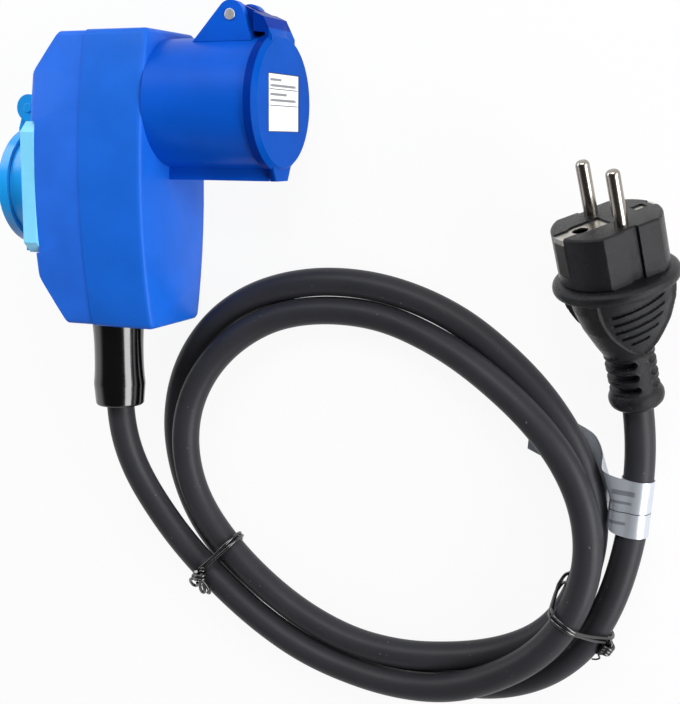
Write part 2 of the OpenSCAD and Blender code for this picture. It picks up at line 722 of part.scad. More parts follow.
module mains_ear_profile()
    hull() {
        translate([mains_hinge_up, mains_hinge_w]) circle(r = mains_ear_r, $fn = 32);
        translate([collar_r, flange_t / 2]) square([flange_w / 2 - collar_r, slice_t]);
    }

// Frame with its flange, collar and hinge ears, and a spigot that holds the insert
module mains_frame()
    color(pale_blue) in_head() on_mains() difference() {
        union() {
            linear_extrude(flange_t) chamfered_square(flange_w, flange_corner);
            cylinder(r = collar_r, h = collar_top);
            translate([0, 0, insert_back]) cylinder(r = mains_spigot_r, h = flange_t / 2 - insert_back);
            for (side = [-1, 1])
                translate([side * (mains_knuckle_w / 2 + gap + mains_ear_t / 2), 0, 0])
                    across_mains(mains_ear_t) mains_ear_profile();
        }
        translate([0, 0, well_floor - over]) cylinder(r = well_r, h = well_d + 2 * over);
        translate([0, 0, insert_back - over]) cylinder(r = insert_r + slip, h = well_floor_t + over);
        for (u = [-1, 1], v = [-1, 1])
            translate([u * fixing_pitch / 2, v * fixing_pitch / 2, 0]) {
                translate([0, 0, -over]) cylinder(r = mains_screw_r + slip, h = flange_t + 2 * over);
                translate([0, 0, flange_t - screw_head_t / 2])
                    cylinder(r = mains_screw_head_r + slip, h = screw_head_t);
            }
        translate([-flange_w / 2, mains_hinge_up, mains_hinge_w]) rotate([0, 90, 0])
            cylinder(r = mains_pin_r + run, h = flange_w);
    }

// Insert pressed into the frame's spigot: the well's floor with its pin holes, earth slots and towers
module mains_insert()
    color(pale_blue) in_head() on_mains() difference() {
        union() {
            translate([0, 0, insert_back]) cylinder(r = insert_r, h = well_floor_t);
            for (side = [-1, 1]) translate([side * pin_pitch / 2, 0, insert_back - tower_l])
                cylinder(r = tower_r, h = tower_l + well_floor_t / 2);
        }
        for (side = [-1, 1]) {
            translate([side * pin_pitch / 2, 0, insert_back - tower_l - over])
                cylinder(r = mains_contact_r + run, h = tower_l + over);
            translate([side * pin_pitch / 2, 0, insert_back - over])
                cylinder(r = mains_bore_r + 2 * slip, h = well_floor_t + 2 * over);
            translate([-clip_w / 2 - slip, side * (clip_at + clip_t / 2) - clip_t / 2 - slip,
                       insert_back - over])
                cube([clip_w + 2 * slip, clip_t + 2 * slip, well_floor_t + 2 * over]);
        }
    }

module mains_screws()
    color(steel) in_head() {
        at_fixings(flange_t - screw_head_t / 2) cylinder(r = mains_screw_head_r, h = screw_head_t / 2);
        at_fixings(flange_t - mains_screw_l)
            cylinder(r = mains_screw_r, h = mains_screw_l - screw_head_t / 4);
    }

module mains_contact(side)
    color(nickel) in_head() on_mains() translate([side * pin_pitch / 2, 0, insert_back - mains_contact_l])
        difference() {
            translate([0, 0, -mains_tail_l])
                cylinder(r = mains_contact_r, h = mains_contact_l + mains_tail_l);
            cylinder(r = mains_bore_r, h = mains_contact_l + over);
        }

module mains_contact_line() mains_contact(1);
module mains_contact_neutral() mains_contact(-1);

// Bent earth strip: a bridge behind the well's floor and two prongs through it
module mains_earth_clip()
    color(nickel) in_head() on_mains() {
        translate([-clip_w / 2, -clip_at - clip_t, insert_back - clip_t])
            cube([clip_w, 2 * (clip_at + clip_t), clip_t]);
        for (side = [0, 1]) mirror([0, side, 0])
            translate([-clip_w / 2, clip_at, insert_back - clip_t / 2])
                cube([clip_w, clip_t, well_floor_t + clip_h]);
    }

module mains_lid_arm_profile() {
    foot = mains_seal_out_r + 2 * slip;
    hull() {
        translate([mains_hinge_up, mains_hinge_w]) circle(r = mains_knuckle_r, $fn = 32);
        translate([foot, mains_lid_w]) square([slice_t, mains_lid_t - mains_lid_edge]);
    }
    translate([mains_seal_in_r, mains_lid_w + seal_t + slip])
        square([foot - mains_seal_in_r + slip, mains_tab_t - slip]);
}

module mains_lid()
    color(pale_blue) in_head() on_mains() difference() {
        union() {
            translate([0, 0, mains_lid_w]) rotate_extrude()
                polygon([[0, lid_skin_t + gap], [mains_seal_in_r - slip, lid_skin_t + gap],
                         [mains_seal_in_r - slip, seal_t], [mains_seal_out_r + slip, seal_t],
                         [mains_seal_out_r + slip, 0], [mains_lid_r, 0],
                         [mains_lid_r, mains_lid_t - mains_lid_edge],
                         [mains_lid_r - mains_lid_edge, mains_lid_t], [0, mains_lid_t]]);
            across_mains(mains_knuckle_w) mains_lid_arm_profile();
            translate([-mains_tab_w / 2, -mains_lid_r - mains_tab_l, mains_lid_w + seal_t + slip])
                cube([mains_tab_w, 2 * mains_tab_l, mains_tab_t]);
        }
        translate([-flange_w / 2, mains_hinge_up, mains_hinge_w]) rotate([0, 90, 0])
            cylinder(r = mains_pin_r + run, h = flange_w);
        translate([-spring_w / 2, mains_hinge_up, mains_hinge_w]) rotate([0, 90, 0])
            cylinder(r = spring_sweep_r, h = spring_w);
    }

module mains_lid_seal()
    color(black) in_head() on_mains() translate([0, 0, mains_lid_w - gap + seal_gap])
        tube(mains_seal_out_r, mains_seal_in_r, seal_t + gap - seal_gap);

module mains_lid_pin()
    color(nickel) in_head() on_mains() translate([0, mains_hinge_up, mains_hinge_w]) rotate([0, 90, 0])
        rivet_pin(mains_pin_r, mains_knuckle_w + 2 * (gap + mains_ear_t));

module mains_lid_spring()
    color(steel) in_head() on_mains() translate([0, mains_hinge_up, mains_hinge_w]) rotate([0, 90, 0])
        closing_spring(mains_pin_r + spring_clear, mains_leg_at);

// Wires: from the cable's end to a round contact's tail, and on to the mains contact's tail
module wire_run(points) in_head() swept(points, wire_r, wire_sides, wire_up);

function contact_tail_end(angle) =
    let (p = on_circle(contact_circle_r, angle)) [-contact_tail, p[0], p[1]];

module pole_wires(side, angle) {
    end = [cable_x, cable_end_y, side * wire_spread];
    tail = contact_tail_end(angle);
    mains = [mains_tail_x, mains_y, side * pin_pitch / 2];
    above = [0, wire_beside, 0];
    wire_run([end, end + [0, wire_lead, 0], [end[0] + wire_turn, end[1] + wire_rise, side * wire_out_z / 2],
              [end[0] + 2 * wire_turn, end[1] + 2 * wire_rise, side * wire_out_z],
              [tail[0] - 1.5 * wire_turn, tail[1] - 1.5 * wire_rise, side * wire_out_z],
              [tail[0] - wire_turn, tail[1] - wire_turn, side * (wire_out_z - wire_lead / 3)],
              [tail[0] - wire_turn, tail[1] + wire_r, side * (wire_out_z - wire_lead)],
              tail + above - [wire_lead, 0, 0], tail + above]);
    wire_run([mains, mains + [wire_lead, 0, 0], mains + [2 * wire_lead, wire_turn, 0],
              tail + [-wire_turn, -wire_rise, 0], tail - above - [wire_lead, 0, 0], tail - above]);
}

module wire_line() color("saddlebrown") pole_wires(1, line_angle);
module wire_neutral() color("royalblue") pole_wires(-1, neutral_angle);

module wire_earth() {
    end = [cable_x, cable_end_y, 0];
    tail = contact_tail_end(earth_angle);
    clip = [clip_bridge_x, clip_wire_y, 0];
    above = [0, wire_beside, 0];
    color("yellowgreen") {
        wire_run([end, end + [0, wire_lead, 0], end + [wire_lead, wire_rise, 0],
                  tail + [-wire_turn, -wire_rise, 0], tail - above - [wire_lead, 0, 0], tail - above]);
        wire_run([clip, clip + [wire_lead, 0, 0], tail + [-1.6 * wire_turn, -wire_lead, 0],
                  tail + above - [wire_lead, 0, 0], tail + above]);
    }
}

module cord_clamp()
    color(dark_grey) in_head() difference() {
        translate([clamp_bar_x - clamp_bar_t, clamp_y - clamp_w / 2, -clamp_post_z - clamp_post_r])
            cube([clamp_bar_t, clamp_w, 2 * (clamp_post_z + clamp_post_r)]);
        cable_groove();
        at_clamp_screws(clamp_bar_x - 2 * clamp_bar_t)
            cylinder(r = clamp_screw_r + slip, h = 3 * clamp_bar_t);
    }

module clamp_screws()
    color(steel) in_head() {
        at_clamp_screws(clamp_bar_x - clamp_bar_t - clamp_screw_head_t)
            cylinder(r = clamp_screw_head_r, h = clamp_screw_head_t);
        at_clamp_screws(clamp_bar_x - clamp_bar_t - clamp_screw_head_t / 2)
            cylinder(r = clamp_screw_r, h = clamp_screw_l);
    }

module bend_sleeve()
    color(black) in_head() along_entry() rotate_extrude()
        polygon([[cable_r + slip, -wall - bend_flange_t], [bend_flange_r, -wall - bend_flange_t],
                 [bend_flange_r, -wall], [bend_neck_r, -wall], [bend_neck_r, 0],
                 for (p = bend_profile) [bend_sleeve_r + p[1], bend_sleeve_l * p[0]],
                 [cable_r + slip, bend_sleeve_l]]);

module cable() color(dark_grey) swept(cable_route, cable_r, cable_sides);

// Plug, from its tail ring to its face; the pins lie along X and the earth contacts along Y
module plug_profile()
    polygon([[0, 0], [tail_r - plug_edge, 0], [tail_r, plug_edge], [tail_r, tail_t - plug_edge],
             [tail_r - plug_edge, tail_t], [relief_r, tail_t],
             for (p = grip_profile) [p[1], plug_grip_at + grip_l * p[0]],
             [plug_collar_r - plug_edge, plug_collar_at], [plug_collar_r, plug_collar_at + plug_edge],
             [plug_collar_r, plug_body_at - plug_edge], [plug_collar_r - plug_edge, plug_body_at],
             [plug_r, plug_body_at], [plug_r, plug_l - plug_edge], [plug_r - plug_edge, plug_l],
             [0, plug_l]]);

module relief_slot()
    difference() {
        cylinder(r = tail_r, h = relief_slot_w);
        translate([0, 0, -over]) cylinder(r = relief_core_r, h = relief_slot_w + 2 * over);
        translate([-2 * tail_r, -relief_web_w / 2, -over])
            cube([4 * tail_r, relief_web_w, relief_slot_w + 2 * over]);
    }

// Earth plate from the middle of the face to its rounded end, drawn with a clearance around it
module earth_plate(clear, t) {
    translate([-plate_w / 2 - clear, plate_from - clear, 0])
        cube([plate_w + 2 * clear, earth_hole_y - plate_from, t]);
    translate([0, earth_hole_y, 0]) cylinder(r = plate_w / 2 + clear, h = t);
}

module plug_body()
    color(dark_grey) in_plug() difference() {
        rotate_extrude() plug_profile();
        translate([0, 0, -over]) cylinder(r = cable_r + slip, h = plug_bore_d + over);
        for (i = [0:relief_slots - 1])
            translate([0, 0, plug_relief_at + (i + 0.5) * relief_l / relief_slots - relief_slot_w / 2])
                relief_slot();
        for (side = [-1, 1])
            translate([side * pin_pitch / 2, 0, plug_l - pin_shank_l])
                cylinder(r = pin_shank_r + run, h = pin_shank_l + over);
        for (side = [0, 1]) mirror([side, 0, 0]) {
            translate([plug_flat, -plug_r, plug_body_at]) cube([plug_r, 2 * plug_r, plug_l]);
            translate([plug_flat - guide_d, -guide_w / 2, plug_body_at]) cube([plug_r, guide_w, plug_l]);
        }
        translate([-bracket_w / 2 - slip, -plug_r - over, bracket_z - slip])
            cube([bracket_w + 2 * slip, 2 * (plug_r + over), bracket_t + 2 * slip]);
        translate([0, 0, bracket_z - slip]) earth_plate(slip, plug_l);
        translate([-window_w / 2, -window_from - window_l, bracket_z]) cube([window_w, window_l, plug_l]);
        for (side = [0, 1]) mirror([0, side, 0])
            translate([-bracket_w / 2 - slip, bracket_leg_at - slip, plug_l - bracket_leg_l - slip])
                cube([bracket_w + 2 * slip, plug_r, plug_l]);
        translate([0, earth_hole_y, plug_l - earth_hole_d])
            cylinder(r = earth_hole_r, h = earth_hole_d + over);
    }

module plug_pins()
    color(nickel) in_plug() for (side = [-1, 1])
        translate([side * pin_pitch / 2, 0, plug_l]) {
            translate([0, 0, -pin_shank_l]) cylinder(r = pin_shank_r, h = pin_shank_l + over);
            cylinder(r = plug_pin_r, h = plug_pin_l - pin_tip_l);
            translate([0, 0, plug_pin_l - pin_tip_l])
                cylinder(r1 = plug_pin_r, r2 = plug_pin_r - pin_tip_l, h = pin_tip_l);
        }

module plug_earth_bracket()
    color(nickel) in_plug() difference() {
        union() {
            translate([-bracket_w / 2, -plug_r, bracket_z]) cube([bracket_w, 2 * plug_r, bracket_t]);
            translate([0, 0, bracket_z]) earth_plate(0, bracket_t);
            for (side = [0, 1]) mirror([0, side, 0])
                translate([-bracket_w / 2, bracket_leg_at, plug_l - bracket_leg_l])
                    cube([bracket_w, plug_r - bracket_leg_at, bracket_leg_l - bracket_depth]);
        }
        translate([0, earth_hole_y, plug_l - plug_body_l]) cylinder(r = earth_hole_r + slip, h = plug_l);
    }

// Wire tie: a loop drawn tight round three strands, twisted off at one side
module tie_outline(strands, grow)
    offset(r = cable_r + grow, $fn = 24) hull() for (s = strands) translate(s) circle(r = tie_slack, $fn = 8);

module wire_tie(at, across, strands, knot_side) {
    out = strands[knot_side > 0 ? 2 : 0];
    knot_from = out[0] + knot_side * (cable_r + tie_slack + tie_r);
    translate(at) rotate([90, 0, across]) {
        linear_extrude(tie_w, center = true) difference() {
            tie_outline(strands, 2 * tie_r);
            tie_outline(strands, 0);
        }
        swept([[knot_from, out[1], 0], for (k = [1:3])
               let (t = k / 3)
               [knot_from + knot_side * knot_l * t, out[1] - knot_drop * t * t, knot_wave * pow(-1, k)]],
              tie_r, wire_sides);
    }
}

module left_tie() color(black) wire_tie(left_tie_at, left_tie_across, left_tie_strands, -1);
module right_tie() color(black) wire_tie(right_tie_at, right_tie_across, right_tie_strands, 1);

// Flag label: a sleeve round the cable with a strip of film that drops under the coil
function film_section(path, i) =
    let (n = unit(cross(flag_along, tangent(path, i))) * flag_t / 2, side = flag_along * flag_w / 2)
    [path[i] - side - n, path[i] + side - n, path[i] + side + n, path[i] - side + n];

module flag_label()
    color("gainsboro") {
        translate(flag_at) rotate([90, 0, atan2(flag_along[1], flag_along[0]) + 90])
            linear_extrude(flag_w, center = true) difference() {
                circle(r = cable_r + flag_slack + flag_t);
                circle(r = cable_r + flag_slack);
            }
        polyhedron([for (i = [0:len(flag_strip) - 1]) each film_section(flag_strip, i)],
                   swept_faces(len(flag_strip), 4));
    }

front_shell();
rear_shell();
shell_screws();
round_sleeve();
round_carrier();
carrier_screws();
round_contact_line();
round_contact_neutral();
round_contact_earth();
round_lid();
round_lid_seal();
lid_label();
round_lid_pin();
round_lid_spring();
mains_frame();
mains_insert();
mains_screws();
mains_contact_line();
mains_contact_neutral();
mains_earth_clip();
mains_lid();
mains_lid_seal();
mains_lid_pin();
mains_lid_spring();
wire_line();
wire_neutral();
wire_earth();
cord_clamp();
clamp_screws();
bend_sleeve();
cable();
plug_body();
plug_pins();
plug_earth_bracket();
left_tie();
right_tie();
flag_label();
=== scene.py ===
import json
import math

import bmesh
import bpy
import numpy as np
from mathutils import Matrix, Vector
from mathutils.geometry import convex_hull_2d


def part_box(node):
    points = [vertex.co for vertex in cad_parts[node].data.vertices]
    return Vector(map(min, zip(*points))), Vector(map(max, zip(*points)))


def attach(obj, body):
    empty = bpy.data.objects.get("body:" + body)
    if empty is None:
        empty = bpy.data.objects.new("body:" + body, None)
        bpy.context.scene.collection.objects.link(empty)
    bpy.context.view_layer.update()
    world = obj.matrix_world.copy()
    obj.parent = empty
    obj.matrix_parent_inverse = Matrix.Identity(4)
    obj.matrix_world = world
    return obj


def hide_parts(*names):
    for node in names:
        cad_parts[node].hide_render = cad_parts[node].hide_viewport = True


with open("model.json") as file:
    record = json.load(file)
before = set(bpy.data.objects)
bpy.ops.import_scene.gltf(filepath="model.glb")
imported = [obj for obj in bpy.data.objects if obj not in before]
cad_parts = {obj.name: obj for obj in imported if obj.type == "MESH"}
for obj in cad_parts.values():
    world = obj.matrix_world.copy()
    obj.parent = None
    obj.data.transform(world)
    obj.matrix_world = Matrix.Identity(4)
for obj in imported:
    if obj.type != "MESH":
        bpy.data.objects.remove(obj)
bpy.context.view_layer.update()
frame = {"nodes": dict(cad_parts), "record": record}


# Cable
# A three-core lead in a matte black rubber sheath, extruded round its cores. It runs from the clamp
# in the head through the bend sleeve, lies in two and a half turns and ends moulded into the plug.


class Socket:
    """An output in a material's nodes. Arithmetic on it adds Math nodes."""

    def __init__(self, output):
        self.output = output

    def node(self, kind, settings, values, output=0):
        """Adds a shader node, sets it, then fills its inputs with values or with other outputs."""
        tree = self.output.id_data
        made = tree.nodes.new("ShaderNode" + kind)
        for key, value in settings.items():
            setattr(made, key, value)
        for key, value in values.items():
            if isinstance(value, Socket):
                tree.links.new(value.output, made.inputs[key])
            else:
                made.inputs[key].default_value = value
        return Socket(made.outputs[output])

    def maths(self, operation, first, second=0.0):
        return self.node("Math", {"operation": operation}, {0: first, 1: second})

    def __add__(self, other):
        return self.maths("ADD", self, other)

    def __sub__(self, other):
        return self.maths("SUBTRACT", self, other)

    def __rsub__(self, other):
        return self.maths("SUBTRACT", other, self)

    def __mul__(self, other):
        return self.maths("MULTIPLY", self, other)

    __radd__ = __add__
    __rmul__ = __mul__

    def __abs__(self):
        return self.maths("ABSOLUTE", self)

    def along(self, direction):
        """How far a point lies along a direction."""
        return self.node("VectorMath", {"operation": "DOT_PRODUCT"}, {0: self, 1: tuple(direction)}, 1)

    def noise(self, scale, detail=2.0):
        return self.node("TexNoise", {}, {"Vector": self, "Scale": scale, "Detail": detail})

    def rise(self, low, high):
        """0 below low and 1 above high, with a smooth rise between."""
        settings = {"interpolation_type": "SMOOTHSTEP"}
        return self.node("MapRange", settings, {"Value": self, "From Min": low, "From Max": high})

    def near(self, level, half):
        """1 within half of a level, with a thin soft edge."""
        return 1 - abs(self - level).rise(half * 0.85, half * 1.15)

    def blend(self, first, second):
        """A mix of two colours by this share of the second."""
        return self.node("Mix", {"data_type": "RGBA"}, {0: self, 6: first, 7: second}, 2)

    def feed(self, shader, name):
        self.output.id_data.links.new(self.output, shader.inputs[name])


def srgb(red, green, blue, share=1.0):
    """A colour given in levels of 0 to 255, and made lighter or darker by a share, in linear light."""
    levels = np.array([red, green, blue]) / 255
    linear = np.where(levels <= 0.04045, levels / 12.92, ((levels + 0.055) / 1.055) ** 2.4)
    return (*np.minimum(linear * share, 1.0), 1.0)


def paint(name, constants, slot=None):
    """A new material with constants on its shader, then that shader and the object's coordinates."""
    made = bpy.data.materials.new(name + "_finish")
    made["slot"] = slot or name
    made.use_nodes = True
    shader = made.node_tree.nodes["Principled BSDF"]
    for key, value in constants.items():
        shader.inputs[key].default_value = value
    coordinates = made.node_tree.nodes.new("ShaderNodeTexCoord")
    return made, shader, Socket(coordinates.outputs["Object"])


CLOUD_SCALE = 45.0
DARKER, LIGHTER = 0.93, 1.07
COLOUR_EDGE = 0.0002
SPECK_SCALE = 640.0
SPECK_RANGE = (0.765, 0.79)
SPECK_GREY = srgb(170, 170, 172)
GLOSS_SCALE = 160.0
GLOSS_SPREAD = 0.12
GRAIN_SCALE = 3200.0
GRAIN_DEPTH = 0.0002


def plastic(name, colour, roughness, grain, gloss, specks=0.0, beyond=None, slot=None):
    """A moulded or extruded plastic with faint clouds in its colour, an uneven gloss and a fine grain.

    specks is the strength of its pale specks, and beyond gives a distance along X and the colour of
    what lies past it.
    """
    made, shader, place = paint(name, {"Specular IOR Level": gloss}, slot)
    cloud = place.noise(CLOUD_SCALE, 4.0).rise(0.3, 0.7)
    colours = cloud.blend(srgb(*colour, DARKER), srgb(*colour, LIGHTER))
    if beyond:
        start, second = beyond
        past = place.along((1, 0, 0)).rise(start - COLOUR_EDGE, start + COLOUR_EDGE)
        colours = past.blend(colours, cloud.blend(srgb(*second, DARKER), srgb(*second, LIGHTER)))
    if specks:
        # Pale specks: dust on the cable's sheath, painted glints on the plug's grain.
        dust_and_glints = place.noise(SPECK_SCALE, 1.0).rise(*SPECK_RANGE) * specks
        colours = dust_and_glints.blend(colours, SPECK_GREY)
    colours.feed(shader, "Base Color")
    smoothest = roughness - GLOSS_SPREAD / 2
    (place.noise(GLOSS_SCALE, 3.0) * GLOSS_SPREAD + smoothest).feed(shader, "Roughness")
    bump = {"Height": place.noise(GRAIN_SCALE), "Strength": grain, "Distance": GRAIN_DEPTH}
    place.node("Bump", {}, bump).feed(shader, "Normal")
    return made


def solid(name, points, faces, sharp=35.0):
    """A mesh object, smooth but for edges sharper than that angle."""
    mesh = bpy.data.meshes.new(name)
    mesh.from_pydata([tuple(point) for point in points], [], faces)
    mesh.shade_smooth()
    mesh.set_sharp_from_angle(angle=math.radians(sharp))
    made = bpy.data.objects.new(name, mesh)
    bpy.context.scene.collection.objects.link(made)
    return made


def skin(rings, ends):
    """Points and faces through rings of points, "capped" at both ends or "joined" from last to first."""
    rings = np.asarray(rings)
    count, sides = rings.shape[:2]
    faces = []
    for ring in range(count if ends == "joined" else count - 1):
        here, there = ring * sides, (ring + 1) % count * sides
        for side in range(sides):
            after = (side + 1) % sides
            faces.append((here + side, here + after, there + after, there + side))
    if ends == "capped":
        faces.append(tuple(range(sides))[::-1])
        faces.append(tuple(range((count - 1) * sides, count * sides)))
    return rings.reshape(-1, 3), faces


def smooth_line(points, step, passes=0):
    """Points that far apart along a rounded line through the given ones, evened out in some passes."""
    points = np.asarray(points, float)
    padded = np.vstack([2 * points[0] - points[1], points, 2 * points[-1] - points[-2]])
    share = np.linspace(0, 1, 24, endpoint=False)[:, None]
    parts = []
    for a, b, c, d in zip(padded, padded[1:], padded[2:], padded[3:]):
        bend = share**2 * (a - 2.5 * b + 2 * c - d / 2) + share**3 * (1.5 * (b - c) + (d - a) / 2)
        parts.append(b + share * (c - a) / 2 + bend)
    line = np.vstack(parts + [points[-1:]])
    run = np.concatenate([[0], np.cumsum(np.linalg.norm(np.diff(line, axis=0), axis=1))])
    even = np.linspace(0, run[-1], max(int(round(run[-1] / step)), 2) + 1)
    line = np.column_stack([np.interp(even, run, line[:, axis]) for axis in range(line.shape[1])])
    for _ in range(passes):
        line[1:-1] = line[:-2] / 4 + line[1:-1] / 2 + line[2:] / 4
    return line


def tube(name, line, radius, sides, ends="capped"):
    """A round tube swept along a line of points without twist."""
    line = np.asarray(line)
    along = np.gradient(line, axis=0)
    if ends == "joined":
        along = (np.roll(line, -1, axis=0) - np.roll(line, 1, axis=0)) / 2
    along /= np.linalg.norm(along, axis=1)[:, None]
    across = np.cross(along[0], np.eye(3)[np.argmin(np.abs(along[0]))])
    turns = np.linspace(0, 2 * math.pi, sides, endpoint=False)[:, None]
    rings = []
    for centre, direction, reach in zip(line, along, np.broadcast_to(radius, len(line))):
        across = across - direction * across.dot(direction)
        across /= np.linalg.norm(across)
        third = np.cross(direction, across)
        rings.append(centre + reach * (np.cos(turns) * across + np.sin(turns) * third))
    return solid(name, *skin(rings, ends), sharp=50.0)


def fit(piece, body, finish, *stands_for):
    """Gives a piece its material, which carries its slot, and its body, and hides the CAD nodes it stands
    for.
    """
    piece.data.materials.clear()
    piece.data.materials.append(finish)
    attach(piece, body)
    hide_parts(*stands_for)
    return piece


CABLE_R = 0.0055
CABLE_SIDES = 36
SEAT_IN_PLUG = 0.0049
mounts = {mount["name"]: mount for mount in frame["record"]["mounts"]}
axis = Vector(mounts["plug_pin_left"]["axis"])
tail = Vector((0.1867, -0.0635, 0.009415))
entry = (-0.0168, -0.04375, 0.0255)
in_head = [(-0.0168, -0.01575, 0.0255), (-0.0168, -0.02175, 0.0255)]
over_the_coil = [
    (-0.0168, -0.07775, 0.0255), (-0.0153, -0.093, 0.0245), (-0.0109, -0.107, 0.0225),
    (-0.0027, -0.1212, 0.0205), (0.0078, -0.1351, 0.0188), (0.0233, -0.1496, 0.018),
    (0.0424, -0.1635, 0.0176), (0.064, -0.174, 0.0178), (0.088, -0.1798, 0.0177),
    (0.107, -0.1808, 0.018), (0.124, -0.1778, 0.0194), (0.139, -0.171, 0.0204),
    (0.1538, -0.161, 0.0206), (0.165, -0.1476, 0.0204), (0.1716, -0.1314, 0.0196),
    (0.1733, -0.1155, 0.019), (0.17, -0.099, 0.0186), (0.162, -0.0839, 0.0182),
    (0.1506, -0.0709, 0.0174), (0.1377, -0.0607, 0.0154), (0.1234, -0.0517, 0.0125),
    (0.107, -0.0446, 0.0082), (0.0864, -0.0384, 0.0058), (0.062, -0.0375, 0.0058),
]
inner_turn = [
    (0.0402, -0.0426, 0.008), (0.022, -0.056, 0.0126), (0.011, -0.074, 0.0156),
    (0.008, -0.094, 0.017), (0.013, -0.114, 0.0178), (0.025, -0.131, 0.0182),
    (0.042, -0.147, 0.0176), (0.062, -0.1596, 0.0172), (0.084, -0.1672, 0.0171),
    (0.106, -0.1688, 0.0167), (0.116, -0.1681, 0.0149), (0.126, -0.1676, 0.012),
    (0.142, -0.1636, 0.0088), (0.1568, -0.1546, 0.0082), (0.1665, -0.141, 0.0078),
    (0.1714, -0.125, 0.0068), (0.1726, -0.109, 0.0063), (0.1686, -0.092, 0.0063),
    (0.1602, -0.0758, 0.0063), (0.1488, -0.0614, 0.0062), (0.1345, -0.0488, 0.0058),
    (0.1183, -0.0378, 0.0058), (0.0982, -0.0298, 0.0058), (0.078, -0.0262, 0.0058),
]
round_to_plug = [
    (0.056, -0.027, 0.0058), (0.034, -0.0335, 0.0058), (0.016, -0.046, 0.0058),
    (0.003, -0.065, 0.0058), (-0.002, -0.087, 0.0058), (0.001, -0.108, 0.0062),
    (0.01, -0.127, 0.0074), (0.024, -0.142, 0.0082), (0.043, -0.156, 0.0072),
    (0.064, -0.168, 0.0065), (0.088, -0.1765, 0.0064), (0.112, -0.181, 0.0064),
    (0.136, -0.18, 0.0066), (0.157, -0.171, 0.0076), (0.172, -0.156, 0.0082),
    (0.181, -0.1365, 0.0074), (0.1862, -0.113, 0.0064), (0.1879, -0.091, 0.0064),
    (0.188, -0.079, 0.0068), tuple(tail), tuple(tail + axis * SEAT_IN_PLUG),
]
route = [*in_head, entry, *over_the_coil, *inner_turn, *round_to_plug]
cable_line = smooth_line(route, 0.002, 20)
sheath = plastic("cable_sheath", (46, 46, 50), 0.4, 0.25, 0.16, specks=0.16)
cable = fit(tube("cable_tube", cable_line, CABLE_R, CABLE_SIDES), "head", sheath, "cable")


# Bend sleeve
# A glossy black sleeve of soft plastic that keeps the cable from kinking where it leaves the head.
# It is moulded in one piece, waisted, and a flange holds it between the two halves of the head.


def lathe(profile, sides, origin, direction):
    """Rings of points for a profile of distances along an axis and radii."""
    direction = np.array(direction)
    across = np.cross(direction, np.eye(3)[np.argmin(np.abs(direction))])
    across /= np.linalg.norm(across)
    third = np.cross(direction, across)
    turns = np.linspace(0, 2 * math.pi, sides, endpoint=False)[:, None]
    around = np.cos(turns) * across + np.sin(turns) * third
    return [np.array(origin) + along * direction + reach * around for along, reach in profile]


ENTRY = Vector(entry)
OUT_OF_HEAD = (0, -1, 0)
SLEEVE_SIDES = 96
SLEEVE_BORE = 0.0056
GROOVE_R = 0.0082
FLANGE_R = 0.0089
CUFF_R = 0.0103
SLEEVE_END = 0.034
flange = [(-0.0045, SLEEVE_BORE), (-0.0045, FLANGE_R), (-0.0025, FLANGE_R), (-0.0025, GROOVE_R)]
shoulder = [(0.0002, GROOVE_R), (0.0002, 0.0101), (0.0003, CUFF_R)]
waist = [
    (0.0006, 0.01038), (0.005, 0.01), (0.0102, 0.0098),
    (0.017, 0.0098), (0.0215, 0.00998), (0.0248, 0.01026),
]
cuff = [(0.0252, CUFF_R), (0.0256, 0.01031), (0.026, 0.01028), (0.0295, 0.00998), (0.033, 0.0097)]
rim = [(0.0335, 0.0096), (0.0339, 0.0093), (SLEEVE_END, 0.0089), (SLEEVE_END, 0.0065)]
mouth = [(0.0337, 0.0059), (0.033, SLEEVE_BORE)]
sleeve_profile = [*flange, *shoulder, *smooth_line(waist, 0.0007), *cuff, *rim, *mouth]
rings = lathe(sleeve_profile, SLEEVE_SIDES, ENTRY, OUT_OF_HEAD)
gloss_black = plastic("sleeve", (3, 3, 4), 0.14, 0.02, 0.9)
fit(solid("bend_sleeve_moulding", *skin(rings, "joined")), "head", gloss_black, "bend_sleeve")


# Wire ties
# Two lengths of black coated wire. Each is laid double round three strands of the coil, twisted together
# at one side and left with short curled ends. Their sizes are in millimetres.

WIRE_R = 0.65
WIRE_SIDES = 12
WIRE_STEP = 0.3
BAND_REACH = 16
BAND_CLEAR = 0.55
BAND_POINTS = 140
RIPPLES = 3
SLACK_HEIGHTS = (10.0, 13.0)
DRAWN_BELOW, DRAWN_TO = 9, 21
DRAWN_EDGE, DRAWN_ACROSS = 2, 8


def tie_frame(centre, degrees):
    """Axes in millimetres for a tie: across the strands, up, and along them."""
    turn = math.radians(degrees)
    axes = Matrix(((math.cos(turn), 0, math.sin(turn)), (math.sin(turn), 0, -math.cos(turn)), (0, 1, 0)))
    return Matrix.Translation((*centre, 0)) @ (axes * 0.001).to_4x4()


def strands_in(frame_of_tie):
    """The places, across and up, where the cable passes through a tie."""
    seen = [frame_of_tie.inverted() @ Vector(point) for point in cable_line]
    crossing = [a.z * b.z <= 0 and abs(a.x) < BAND_REACH for a, b in zip(seen, seen[1:])]
    return [(point.x, point.y) for point, found in zip(seen, crossing) if found]


